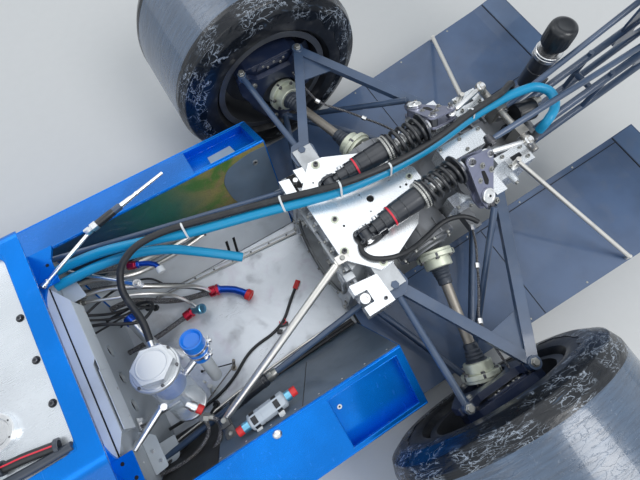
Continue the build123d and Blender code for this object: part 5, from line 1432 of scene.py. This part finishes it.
def makePodTrim(side, sign):
    lip, bolts, dark = blanks(3)
    edge = sign * 315.2
    bar(lip, at(142, edge, 370.4), at(738, edge, 370.4), podFacts["lipR"], 12)
    outer = sign * 452.6
    bar(lip, at(142, outer, 285.4), at(1398, outer, 285.4), 2.4, 12)
    corners = [(157, 326), (340, 326), (340, 443), (157, 443), (157, 326)]
    edges = [at(x, y * sign, podTop(y) - 0.6) for x, y in corners]
    for first, second in zip(edges, edges[1:]):
        bar(lip, first, second, 1.6, 10)
    spot, out = recessSpot(322, 352, sign)
    washer(bolts, spot, out, 2.4, 6, 1.0)
    # the pin's hole is a black disc: painted shade inside it
    disc(dark, spot, out, 2.6, 0.3, 14)
    piece("podLip" + side, lip, "blue_body")
    piece("podPin" + side, bolts, "bright")
    piece("podPinHole" + side, dark, "shadeBlack")


def makePatch():
    bm = bmesh.new()
    outline = [(288, 352), (286, 398), (214, 402), (212, 350)]
    slab(bm, [recessSpot(x, y, -1, 0.3)[0] for x, y in outline], recessSpot(0, 400, -1)[1] * 0.0006)
    piece("palePatch", bm, "patch")


def makePodPin():      # the round stud that holds the cover on the left pod
    bm = bmesh.new()
    turn(bm, [(-1, 0), (-1, 11), (0.6, 11), (2.4, 10), (5.6, 6), (6.4, 0)], at(465, 327, podTop(327)),
         (0, podFacts["topSlope"], 1))
    piece("podStud", bm, "bright")


makeRightWall()
makeLeftWall()
bothSides(makePodTrim)
makePatch()
makePodPin()
print("pod walls and trim made")


# fuel deck, its ring and the bulkhead behind it

deckFacts = {
    "z": 628.0, "filler": (801, 95),
    "bolts": [(716, -60), (716, 20), (716, 97), (880, -172), (880, 172), (966, -120), (966, 0), (966, 120)],
}


def makeDeck():
    z, up = deckFacts["z"], Vector((0, 0, 1))
    ring, bolts, dark = blanks(3)
    base = at(*deckFacts["filler"], z)
    turn(ring, [(8.2, 21.5), (8.2, 28.2), (10.6, 28.2), (11.4, 27.4), (11.4, 22.4), (10.6, 21.5),
                (8.2, 21.5)], base, up, 44)
    turn(ring, [(4.6, 0), (4.6, 18.4), (7.6, 19.4), (7.6, 16), (6.2, 14.6), (6.2, 0)], base, up, 40)
    for out in spokes(6, up, Vector((1, 0, 0)), 0.3):
        turn(dark, [(0, 0), (0, 1.5), (0.6, 1.3), (0.6, 0)], base + out * 0.0248 + up * 0.0112, up, 10)
    for x, y in deckFacts["bolts"]:
        disc(dark, at(x, y, z), up, 6.8, 0.6, 20)
        capHead(bolts, dark, at(x, y, z + 0.4), up, 5.4)
    piece("fillerRing", ring, "bright")
    piece("deckBolts", bolts, "darkBolt")
    piece("deckSeats", dark, "blackCap")


def makeDeckHose():      # vent hose with a red line, through a grommet in the deck
    z = deckFacts["z"]
    points = [(804, 148, z + 9), (790, 150, z + 11), (772, 152, z + 11), (752, 156, z + 10),
              (730, 160, z + 8)]
    tube("deckVentHose", points, 8.0, "black_hose")
    tube("deckHoseLine", [(x, y - 1.5, up + 8.1) for x, y, up in points], 1.3, "redLine", resolution=6)
    tube("deckSeal", [(866, 166, z + 7), (803, 170, z + 9), (750, 172, z + 9), (708, 172, z + 7)], 7.0,
         "bootBlack")
    bm = bmesh.new()
    for spot, ahead in ((at(*points[0]), (1, -0.14, 0)), (at(*points[-1]), (-1, 0.18, -0.08))):
        washer(bm, spot, ahead, 7.6, 11.0, 6)
    piece("deckGrommets", bm, "bootBlack")


def makeBulkheadFittings():
    dark, rings, bolts, blue, rails = blanks(5)
    back = (-1, 0, 0)
    # holes in the bulkhead drawn as black discs: painted shade inside them
    for y in (-55, 20, 94):
        disc(dark, at(744, y, 245), back, 15.8, 0.5, 28, 0.2)
        washer(rings, at(737, y, 245), back, 16.2, 19.4, 0.9)
    for y in range(-130, 150, 65):
        rivet(bolts, at(715, y, 362), back, 2.6)
    for y in (-170, -206, -242, 190, 226):
        rivet(bolts, at(737, y, 330), back)
    for z in (110, 160, 210):
        for sign in (-1, 1):
            rivet(bolts, at(737, sign * (wallY(z) - 14), z), back)
    levelSlab(rails, [(763, -200), (748, -200), (748, 200), (763, 200)], 407, 408.5, 1)
    levelSlab(rails, [(744, -196), (716, -152), (716, -6), (724, 6), (724, 158), (744, 196)], 407, 408.5, 1)
    uprightRail = [(715.6, 352), (715.6, 406.5), (717.2, 406.5), (717.2, 352)]
    uprightSlab(rails, uprightRail, -150, 20)
    uprightSlab(rails, [(x + 2 if z > 400 else x, z) for x, z in uprightRail], 20, 156)
    # a black strip in the gap between the two rails: painted shade
    levelSlab(dark, [(747.5, -200), (745, -200), (745, 200), (747.5, 200)], 407, 407.4)
    for sign in (-1, 1):
        levelSlab(blue, [(716, sign * 200), (772, sign * 200), (745, sign * 250), (716, sign * 262)], 415.2,
                  416.8, 3)
        for x, y in ((742, 214), (728, 250)):
            disc(dark, at(x, sign * y, 416.8), (0, 0, 1), 4.0, 0.4, 16)
    piece("bulkheadHoles", dark, "shadeBlack")
    piece("bulkheadRings", rings, "tub_aluminium")
    # the rails take the paler sheet so that they look lit in the ring's shade: painted light
    piece("bulkheadRails", rails, "litPaleSheet")
    piece("bulkheadRivets", bolts, "bright")
    piece("ringFlanges", blue, "blue_body")


def makeRingCorners():      # the deck window's rounded corners
    bm = bmesh.new()
    for sign in (-1, 1):
        arc = [(724 - 20 * math.sin(math.pi * step / 16), 161 + 20 * math.cos(math.pi * step / 16))
               for step in range(1, 8)]
        outline = [(704, 181), (724, 181)] + arc + [(704, 161)]
        slab(bm, [at(x, y * sign, 629) for x, y in outline], Vector((0, 0, 0.0068)))
    piece("ringCorners", bm, "blue_body")


makeDeck()
makeRingCorners()
makeDeckHose()
makeBulkheadFittings()
print("deck and bulkhead dressed")


# small things on the bay's floor: the sheet's fold and rivets, a post with a rod through it, a plug

foldFacts = {"far": (150, -150), "near": (712, -190), "z": 60.0, "rivets": 9}


def makeFold():
    fold, rivets = blanks(2)
    (farX, farY), (nearX,
                   nearY), z, count = foldFacts["far"], foldFacts["near"], foldFacts["z"], foldFacts["rivets"]
    for start, end, high in ((0, 5, 1.6), (14, 16, 0.8)):
        levelSlab(fold, [(farX, farY - start), (nearX, nearY - start), (nearX, nearY - end),
                         (farX, farY - end)], z, z + high)
    for number in range(count):
        share = (number + 0.5) / count
        spot = at(farX + (nearX - farX) * share, farY - 9 + (nearY - farY) * share, z)
        turn(rivets, [(-0.5, 0), (-0.5, 3.2), (0.8, 2.8), (1.2, 0)], spot, (0, 0, 1), 14)
    piece("floorFold", fold, "darkSilver")
    piece("floorRivets", rivets, "darkBolt")


def makeFloorParts():
    post, black, white, red = blanks(4)
    bar(post, at(516, 115, 59), at(503, 101, 96), 4.6, 20, 0.6)
    turn(post, [(-1, 0), (-1, 8), (2, 8), (3, 6), (3, 0)], at(516, 115, 60), (0, 0, 1), 20)
    bar(black, at(597, 77, 68), at(512, 106, 92), 1.8, 12)
    bar(post, at(509, 112, 82), at(618, 154, 62), 1.7, 12)
    disc(black, at(597, 77, 68), (-1, 0.34, 0.25), 4, 2, 14, -2)
    brick(white, at(592, 128, 88), (14, 10, 9), facing((-1, 1.4, 0.3)), 1.2)
    brick(white, at(599, 110, 92), (8, 6, 12), facing((-0.4, 1, 0.4)), 1.0)
    brick(white, at(584, 140, 84), (9, 7, 7), facing((-1, 0.2, 0.4)), 1.0)
    bar(white, at(592, 128, 88), at(604, 150, 60), 3.0, 12)
    brick(black, at(330, 84, 64), (24, 12, 9), facing((-1, 0.3, 0)), 1.5)
    brick(black, at(352, 96, 65), (16, 14, 10), facing((-1, 0.7, 0)), 1.5)
    piece("floorPost", post, "shaftTone")
    piece("floorRod", black, "blackCap")
    piece("floorWhiteParts", white, "whitePart")
    turns = [(math.radians(angle), 63 + (angle + 40) / 24) for angle in range(-40, 230, 30)]
    loop = [(330 + 10 * math.cos(angle), 74 + 9 * math.sin(angle), z) for angle, z in turns]
    tube("floorLoop", loop, 1.3, "redLine", resolution=6)
    brick(red, at(322, 82, 66), (6, 5, 5), None, 0.8)
    piece("floorLoopEnd", red, "redPlug")


makeFold()
makeFloorParts()
print("floor parts made")


# drive shafts: plated flanges and cups, black boots, brown shaft

driveFacts = {"inner": (-72, 168, 338), "outer": (0, 480, 296), "flangeR": 48.0, "cupR": 34.0, "bootR": 21.0,
              "shaftR": 13.0}


def makeDriveShaft(side, sign):
    inner, outer = (at(x, y * sign, z) for x, y, z in (driveFacts["inner"], driveFacts["outer"]))
    length, run, body = (outer - inner).length * 1000, (outer - inner).normalized(), "shaft_" + side.lower()
    plated, boots, shaft, bolts = blanks(4)
    flange, cup, boot, r = (driveFacts[k] for k in ("flangeR", "cupR", "bootR", "shaftR"))
    for base, way in ((inner, run), (outer, -run)):
        turn(plated, [(0, 0), (0, 42), (1, 43), (8, 43), (8, flange - 1), (9, flange), (19, flange),
                      (20, flange - 1), (20, cup + 2), (21.5, cup), (42, cup), (44, cup - 2), (44, 0)], base,
             way, 56)
        turn(boots, [(43, 0), (43, boot + 6), (46, boot + 5), (48, boot), (52, boot + 1.5), (56, boot - 1.2),
                     (60, boot + 0.4), (64, boot - 2.4), (69, boot - 1.6), (73, boot - 4), (78, 17.4),
                     (82, 17.8), (86, 16.8), (88, r + 0.4), (88, 0)], base, way, 40)
        for out in spokes(6, way, turned=math.pi / 6):
            boltHead(bolts, base + out * 0.0410 + way * 0.020, way, 5.6)
            brick(bolts, base + out * 0.0455 + way * 0.0142, (10.6, 7, 5), facing(way, out), 0.8)
    turn(shaft, [(86, 0), (86, r), (length / 2 - 30, r - 0.4), (length / 2 + 30, r - 0.4), (length - 86, r),
                 (length - 86, 0)], inner, run, 40)
    piece("driveFlanges" + side, plated, "cream", body=body, stands=("drive_shaft_" + side.lower(),))
    piece("driveBoots" + side, boots, "bootBlack", body=body)
    piece("driveTube" + side, shaft, "shaftTone", body=body)
    piece("driveBolts" + side, bolts, "darkBolt", body=body)


def makeUprightDetails(side, sign):
    cover, bolts, silver = blanks(3)
    hub, ahead = at(0, 505 * sign, 292), Vector((0, -sign, 0))
    turn(silver, [(0, 57), (0, 63.4), (2.4, 64), (7, 64), (8.4, 62.8), (8.4, 57)], hub, ahead, 56)
    for out in spokes(8, Vector((0, -1, 0)), Vector((1, 0, 0))):
        socketHead(bolts, hub + out * 0.0605 + ahead * 0.008, ahead, 5.2)
    for x, z, size in ((-66, 384, 8), (76, 370, 8), (-36, 202, 7), (22, 202, 7)):
        boltHead(bolts, at(x, 482 * sign, z), ahead, size)
    for x, z in ((-30, 402), (0, 402), (34, 402), (-90, 300), (-94, 270), (70, 300), (60, 262), (-20, 392),
                 (20, 392)):
        socketHead(bolts, at(x, 504.6 * sign, z), ahead, 5)
    for outline, radius, thick in (([(-52, 394), (56, 394), (44, 410), (-46, 412)], 5, 0.004),
                                   ([(-98, 262), (-72, 262), (-70, 330), (-92, 340)], 6, 0.005)):
        slab(cover, [at(p.x, 504.8 * sign, p.y) for p in softCorners(outline, radius)], ahead * thick)
    for x, z in ((-70, 415.5), (103, 414.6)):
        turn(bolts, [(0, 0), (0, 10.5), (1, 10.5), (1.2, 8.2), (7, 8.2), (8, 7), (8, 0)],
             at(x, 490 * sign, z + 11), (0, 0, 1), 6)
    piece("uprightCovers" + side, cover, "nightBlue")
    piece("uprightCollar" + side, silver, "darkSilver")
    piece("uprightBolts" + side, bolts, "darkSilver")


def makeBrakePipe(side, sign):      # hard brake pipe that follows the wishbone to the upright
    points = [(x, y * sign, z) for x, y, z in (
        (-203, 162, 330), (-190, 190, 328), (-177, 215, 328), (-150, 250, 330), (-126, 285, 332),
        (-96, 322, 334), (-70, 352, 336), (-58, 372, 340), (-50, 420, 348), (-46, 470, 352), (-46, 504, 352))]
    tube("brakePipe" + side, points, 3.0, "braided_steel")
    bm = bmesh.new()
    for first, second in ((0, 1), (3, 4), (7, 6), (10, 9)):
        hexagon(bm, at(*points[first]), at(*points[second]) - at(*points[first]), 11, 13)
    piece("brakeUnions" + side, bm, "bright")


bothSides(makeDriveShaft)
bothSides(makeUprightDetails)
bothSides(makeBrakePipe)
print("drive shafts and uprights dressed")


# breather canister at the back

canisterFacts = {"base": (-568, -84, 392), "grips": 24}


def makeCanister():
    base, up, ahead = at(*canisterFacts["base"]), Vector((0, 0, 1)), Vector((1, 0, 0))
    lower, silver, black, bolts = blanks(4)
    turn(lower, [(0, 0), (0, 26.4), (1.6, 28), (60, 28), (60.6, 27.2), (62.4, 27.2), (63, 28), (104, 28),
                 (104, 0)], base, up, 44)
    turn(silver, [(103, 27), (103, 32.6), (104.4, 34), (113, 34), (114, 33), (115, 33), (116, 34),
                  (120.6, 34), (122, 32.6), (122, 20)], base, up, 44)
    turn(black, [(121, 0), (121, 24.2), (122, 25), (142, 25), (142, 31.6), (143.2, 33), (148, 34.4),
                 (184, 34.4), (190, 33.4), (195, 30.6), (198, 26), (199.4, 20), (198.6, 17), (198.6, 0)],
         base, up, 48)
    for out in spokes(canisterFacts["grips"], up, ahead):
        brick(black, base + up * 0.166 + out * 0.0342, (1.2, 3.0, 32), facing(out, up), 0.4)
    for angle in (2.6, 4.2, 5.8):
        out = Matrix.Rotation(angle, 3, up) @ ahead
        socketHead(bolts, base + up * 0.136 + out * 0.0246, out, 4)
        brick(silver, base + up * 0.110 + out * 0.0335, (9, 12, 12), facing(out, up), 1.0)
        socketHead(bolts, base + up * 0.116 + out * 0.0355, up, 4.4)
    x, y, z = canisterFacts["base"]
    brick(lower, at(x, y + 27.5, z + 38), (24, 15, 20), soften=0.8)
    brick(lower, at(x, -47, z + 25.5), (24, 4, 45), soften=0.8)
    for dz in (10, 40):
        boltHead(bolts, at(x, -49, z + dz), (0, -1, 0), 4.2)
    piece("canisterBody", lower, "damper_black", stands=("breather_canister",))
    piece("canisterCollar", silver, "bright")
    piece("canisterCap", black, "blackCap")
    piece("canisterBolts", bolts, "bright")


makeCanister()
print("canister made")


# upper stays of the wing frame and the folded lips of the tunnels

stayRoutes = {"Left": ((-286, 38, 492), (-792, 38, 552)), "Right": ((-420, -38, 432), (-792, -38, 640))}


def makeWingStay(side, sign):
    rod, nuts = blanks(2)
    start, end = (at(*p) for p in stayRoutes[side])
    length = (end - start).length * 1000
    turn(rod, [(6, 0), (6, 5), (22, 7.5), (length - 24, 7.5), (length - 8, 5), (length, 5), (length, 0)],
         start, end - start)
    turn(nuts, [(-9, 3), (-9, 10), (-7.5, 11), (7.5, 11), (9, 10), (9, 3)], start, (0, 1, 0), 24)
    hexagon(nuts, start + Vector((0, 0.009, 0)), (0, 1, 0), 15, 6)
    hexagon(nuts, start - Vector((0, 0.009, 0)), (0, -1, 0), 15, 6)
    bar(nuts, start - Vector((0, 0, 0.002)), Vector((start.x, start.y, 0.398)), 5)
    hexagon(nuts, end + Vector((0, 0.006 * sign, 0)), (0, sign, 0), 15, 7)
    piece("wingStay" + side, rod, "black_steel")
    piece("wingStayNuts" + side, nuts, "darkBolt")


def makeTunnelLip(side, sign):
    lip, line, pins = blanks(3)
    up = Vector((0.2229, 0, 0.9748))

    def roof(x, y, lift):      # the roof rises faster behind its last bend
        return at(x, y * sign, 102 - 0.2287 * x if x > -726 else 268 - 0.3404 *
                  (x + 726)) + up * (lift / 1000)

    slab(lip, [roof(x, y, 0.1) for x, y in ((-760, 153), (-760, 453), (-816, 453), (-816, 153))], up * 0.0014)
    for outline, thick in ((((-756, 153), (-756, 453), (-758.5, 453), (-758.5, 153)), 0.0006),
                           (((136, 167), (-756, 167), (-756, 169), (136, 169)), 0.0005),
                           (((-300, 170), (-300, 454), (-302, 454), (-302, 170)), 0.0005)):
        slab(line, [roof(x, y, 0.2) for x, y in outline], up * thick)
    for x in (-80, -260, -440, -620):
        for y in (160, 446):
            rivet(pins, roof(x, y, 0.2), up, 3)
    piece("tunnelLip" + side, lip, "lipTone")
    piece("tunnelSeams" + side, line, "shadeBlack")
    piece("tunnelRivets" + side, pins, "darkSilver")


bothSides(makeWingStay)
bothSides(makeTunnelLip)
print("tail dressed")


# rear tyres: black film wound round them, drawn into wrinkles and crumpled on the shoulders

filmFacts = {"steps": 560, "edgeR": 226.0, "treadDepth": 0.0011, "shoulderDepth": 0.0062, "tyreR": 292.0,
             "half": 178.5, "middle": 681.5}


def ridge(value):
    return 1 - min(1.0, abs(value) * 2.4)


def between(corners, fine):      # points along a broken line, about fine millimetres apart
    path = []
    for first, second in zip(corners, corners[1:]):
        count = max(2, round(math.dist(first, second) / fine))
        path += [(first[0] + (second[0] - first[0]) * step / count, first[1] + (second[1] - first[1]) *
                  step / count) for step in range(count)]
    return path + [corners[-1]]


def sinkAt(cos, sin, w):      # how deep the film lies under the tyre's outline, in millimetres
    place = Vector((cos, sin, 0))
    fine = noise.noise(place * 9 + Vector((0, 0, w * 0.24)))
    crumple = ridge(noise.noise(place * 15 + Vector((3.1, 0, w * 0.045))))
    creased = ridge(noise.noise(place * 34 + Vector((0, 0, w * 0.12 + 9))))
    shoulder = min(1.0, max(0.0, (abs(w) - 124) / 20)) * (1.0 if w < 0 else 0.6)
    torn = 0.6 + 0.5 * noise.noise(place * 4 + Vector((0, 0, w * 0.03)))
    depth = filmFacts["shoulderDepth"] * shoulder * torn * (0.25 + 0.5 * (1 - crumple) + 0.25 * (1 - creased))
    return filmFacts["treadDepth"] * (0.5 + 0.5 * fine) + depth


def filmRing(name, shown, hidden, centre, sign, tone, body):
    steps = filmFacts["steps"]
    verts, faces = [], []
    for number in range(steps):
        angle = 2 * math.pi * number / steps
        cos, sin = math.cos(angle), math.sin(angle)
        for r, w in shown:
            sink = sinkAt(cos, sin, w)
            if r <= 250:
                r += (250 - r) / 24 * 15 * noise.noise(Vector((cos * 4.5, sin * 4.5, 5.0)))
            wall = min(1.0, max(0.0, (abs(w) - 140) / 30))
            out, across = (r - sink * (1 - wall * 0.55)) / 1000, (w - math.copysign(sink * wall, w)) / 1000
            verts.append(centre + Vector((out * cos, across * sign, out * sin)))
        verts += [centre + Vector((r * cos, w * sign, r * sin)) / 1000 for r, w in hidden]
    count = len(shown) + len(hidden)
    for number in range(steps):
        following = (number + 1) % steps
        for spot in range(count):
            after = (spot + 1) % count
            faces.append((number * count + spot, number * count + after, following * count + after,
                          following * count + spot))
    plain = bpy.data.meshes.new("filmGrid")
    plain.from_pydata([tuple(v) for v in verts], [], faces)
    bm = bmesh.new()
    bm.from_mesh(plain)
    bpy.data.meshes.remove(plain)
    piece(name, bm, tone, body=body, smooth=48)


def makeFilm(side, sign):
    centre, body = at(0, filmFacts["middle"] * sign, filmFacts["tyreR"]), "wheel_rear_" + side.lower()
    edge, half = filmFacts["edgeR"], filmFacts["half"]
    filmRing("treadFilm" + side, between([(291.4, 127), (291.8, 120), (292, 0), (291.8, -120), (291.4, -127)],
                                         5.4), [(281, -127), (281, 127)], centre, sign, "film", body)
    for name, way in (("Inner", -1), ("Outer", 1)):
        shown = between([(r, w * way) for r, w in ((edge, half), (252, half), (282, 164.5), (292, 138.5),
                                                   (292, 125))], 3.2)
        hidden = [(280, 125 * way), (278, 132 * way), (272, 154 * way), (250, 167 * way), (edge, 170 * way)]
        filmRing("shoulderFilm" + name + side, shown, hidden, centre, sign, "crumple", body)
    wall = bmesh.new()
    turn(wall, [(-147, 168.4), (-148, 168.6), (-148, 179), (-164, 186), (-172.5, 192), (-176.6, 208),
                (-176.8, 240), (-170, 258), (-150, 270), (150, 270), (170, 258), (176.8, 240), (176.6, 208),
                (172.5, 192), (164, 186), (148, 179), (148, 168.6), (147, 168.4), (-147, 168.4)], centre,
         (0, sign, 0), 160)
    piece("tyreWall" + side, wall, "sidewall", body=body, stands=("tyre_rear_" + side.lower(),))


bothSides(makeFilm)
print("film on the rear tyres made")


# wheels, cockpit, mirrors, radiators, fasteners of the body and the wings

bodyFacts = {"tubFront": 2790.0, "tubMid": 1900.0, "gauges": ((-130, 498, 27), (-62, 528, 21), (62, 528, 21),
                                                              (130, 498, 27)), "dashRear": 1798.0,
             "mirrorRear": 1690.0, "rivetGap": 60}
wheelSpots = (("rear_left", 0, 681.5, 292, 1), ("rear_right", 0, 681.5, 292, -1),
              ("front_left", 2620, 700, 255, 1), ("front_right", 2620, 700, 255, -1))


def makeWheelDetails():
    for name, x, y, z, sign in wheelSpots:
        nut, bolts, valve = blanks(3)
        face, out, body = at(x, (y + 36) * sign, z), Vector((0, sign, 0)), "wheel_" + name
        inward, ahead = Vector((0, -1, 0)), Vector((1, 0, 0))
        hexagon(nut, face + out * 0.030, out, 58, 16, soften=2)
        turn(nut, [(0, 35), (0, 40), (3, 42), (9, 42), (12, 38.5), (12, 35)], face - out * 0.0005, out, 40)
        for spoke in spokes(4, inward, ahead, math.pi / 4):
            turn(bolts, [(-1, 0), (-1, 8), (6, 8), (8, 6), (8, 0)], face + spoke * 0.062, out, 20)
        for spoke in spokes(16, inward, ahead):
            socketHead(bolts, face + spoke * 0.150, out, 5)
        spot = face + Matrix.Rotation(0.35, 3, inward) @ ahead * 0.1405
        turn(valve, [(-1, 0), (-1, 4), (10, 3.4), (11, 4.2), (22, 4.2), (23, 3.4), (23, 0)], spot, out, 16)
        piece("hubNut." + name, nut, "darkSilver", body=body)
        piece("rimBolts." + name, bolts, "darkSilver", body=body)
        piece("valve." + name, valve, "blackCap", body=body)


def makeGauges():
    bezels, faces, marks, needles = blanks(4)
    back = Vector((-1, 0, 0))
    for number, (y, z, r) in enumerate(bodyFacts["gauges"]):
        base = at(bodyFacts["dashRear"], y, z)
        turn(bezels, [(-0.4, r - 3.4), (-0.4, r + 0.8), (2.6, r + 0.8), (3.8, r - 0.6), (3.8, r - 2.4),
                      (1.2, r - 3.4)], base, back, 48)
        disc(faces, base, back, r - 3, 0.6, 40, -0.2)
        for step in range(11):
            angle = math.radians(-125 + 25 * step)
            spoke = Vector((0, -math.sin(angle), math.cos(angle)))
            size = (0.4, 1.1 if step % 2 == 0 else 0.6, 5.0 if step % 2 == 0 else 3.0)
            brick(marks, base + back * 0.0008 + spoke * ((r - 7.5) / 1000), size, facing(back, spoke))
        angle = math.radians(-80 + 40 * number)
        spoke = Vector((0, -math.sin(angle), math.cos(angle)))
        brick(needles, base + back * 0.0016 + spoke * (r * 0.00028), (0.5, 1.3, r * 0.9), facing(back, spoke))
        turn(needles, [(0.6, 0), (0.6, 3), (2.6, 2.6), (2.6, 0)], base, back, 16)
    piece("gaugeBezels", bezels, "bright")
    piece("gaugeFaces", faces, "gauge")
    piece("gaugeMarks", marks, "whitePart")
    piece("gaugeNeedles", needles, "redLine")


def makeMirrorGlass(side, sign):
    glass, rim = blanks(2)
    x = bodyFacts["mirrorRear"]
    for bm, grow, low, high in ((rim, 0, -1.2, 0.2), (glass, -4, -2.0, -0.6)):
        outline = [(336 - grow, 652 - grow), (474 + grow, 652 - grow), (474 + grow, 700 + grow),
                   (336 - grow, 700 + grow)]
        points = softCorners([(a * sign, b) for a, b in outline], 9)
        slab(bm, [at(x + low, p[0], p[1]) for p in points], Vector(((high - low) / 1000, 0, 0)))
    piece("mirrorGlass" + side, glass, "mirror")
    piece("mirrorFrame" + side, rim, "blackCap")


def makeFins(side, sign):
    bm = bmesh.new()
    for face_x, way in ((1250, -1), (1310, 1)):
        for row in range(44):
            z = 116 + row * 5.2
            x = face_x + (z - 110) / 3 + way * 0.8
            brick(bm, at(x, sign * 300, z), (2.4, 292, 1.4))
    piece("radiatorFins" + side, bm, "fins")


def sidePoint(x, z, sign):      # a point on the tub's slanted side, which narrows towards the front
    share = max(0.0, (x - bodyFacts["tubMid"]) / (bodyFacts["tubFront"] - bodyFacts["tubMid"]))
    low, high, top = 190 - 50 * share, 311 - 141 * share, 372 + 28 * share
    slope = (high - low) / (top - 50)
    return at(x, (low + (z - 50) * slope) * sign, z), Vector((0, sign, -slope)).normalized()


def makeFasteners():
    rivets, turns, slots = blanks(3)
    for sign in (-1, 1):
        for x in range(1870, 2770, bodyFacts["rivetGap"]):
            for z in (68, 338):
                rivet(rivets, *sidePoint(x, z, sign), 3.2)
        for z in range(98, 330, 46):
            for x in (1866, 2776):
                rivet(rivets, *sidePoint(x, z, sign), 3.2)
        for x in range(1880, 2780, 148):
            share = (x - 1900) / 890 if x > 1900 else 0.0
            wide, high = 311 - 141 * share, 372 + 28 * share
            shoulder, shoulderZ = 274 - 116 * share, 480 - 40 * share
            k = 15 / (shoulderZ - high)
            out = Vector((0, (shoulderZ - high) * sign, wide - shoulder)).normalized()
            spot = at(x, (wide - (wide - shoulder) * k) * sign, high + 15)
            turn(turns, [(-1, 0), (-1, 9), (1, 9), (1.8, 8), (1.8, 0)], spot, out, 24)
            # the slot is a thin black bar: painted shade inside it
            brick(slots, spot + out * 0.0018, (9, 1.8, 0.6), facing((1, 0, 0), out))
    piece("tubRivets", rivets, "bright")
    piece("quarterTurns", turns, "bright")
    piece("turnSlots", slots, "shadeBlack")


def strap(bm, points, width, thick=2.0):      # a flat band through centre points, its width across the car
    rows = []
    for number, point in enumerate(points):
        ahead = (points[min(number + 1, len(points) - 1)] - points[max(number - 1, 0)]).normalized()
        side = Vector((0, 1, 0)) - ahead * ahead.y
        side = side.normalized() if abs(ahead.y) < 0.7 else ahead.cross(Vector((0, 0, 1))).normalized()
        up = ahead.cross(side).normalized()
        half, lift = side * (width / 2000), up * (thick / 2000)
        rows.append([bm.verts.new(point + a) for a in (half + lift, -half + lift, -half - lift, half - lift)])
    for first, second in zip(rows, rows[1:]):
        for number in range(4):
            bm.faces.new((first[number], first[number - 3], second[number - 3], second[number]))
    bm.faces.new(rows[0])
    bm.faces.new(rows[-1][::-1])


beltRoutes = (
    (((990, 66, 597), (1001, 66, 560), (1020, 64, 440), (1050, 58, 318), (1088, 46, 190), (1128, 34, 132),
      (1180, 20, 124), (1204, 12, 126)), 46),
    (((1096, 134, 150), (1130, 118, 128), (1168, 86, 116), (1196, 50, 120), (1210, 26, 126)), 44),
)


def makeBelts():
    bands, buckle, plates = blanks(3)
    for sign in (-1, 1):
        for route, width in beltRoutes:
            strap(bands, [at(x, y * sign, z) for x, y, z in route], width)
        brick(plates, at(1094, 134 * sign, 156), (24, 4, 40), soften=1)
        brick(plates, at(1030, 63 * sign, 412), (6, 56, 34), facing((1, 0, 0.28), (0, 0, 1)), 1)
    strap(bands, [at(x, 0, z) for x, z in ((1218, 126), (1260, 112), (1310, 94), (1334, 91))], 40)
    turn(buckle, [(0, 0), (0, 30), (2, 32), (14, 32), (17, 29), (17, 12), (20, 11), (20, 0)],
         at(1208, 0, 122), (-0.1, 0, 1), 48)
    piece("beltBands", bands, "belt")
    piece("beltBuckle", buckle, "darkSilver")
    piece("beltPlates", plates, "bright")


def makeWingBolts():
    bolts = bmesh.new()
    for sign in (-1, 1):
        for x, z in ((-760, 862), (-850, 868), (-930, 880), (-950, 918), (-990, 950)):
            socketHead(bolts, at(x, 504.5 * sign, z), (0, sign, 0), 6)
        for x, z in ((3300, 118), (3220, 124), (3130, 136), (3060, 190), (2980, 220)):
            socketHead(bolts, at(x, 840.5 * sign, z), (0, sign, 0), 6)
    piece("wingBolts", bolts, "darkBolt")


makeWheelDetails()
makeGauges()
bothSides(makeMirrorGlass)
bothSides(makeFins)
makeFasteners()
makeBelts()
makeWingBolts()
print("wheels, cockpit and fasteners made")
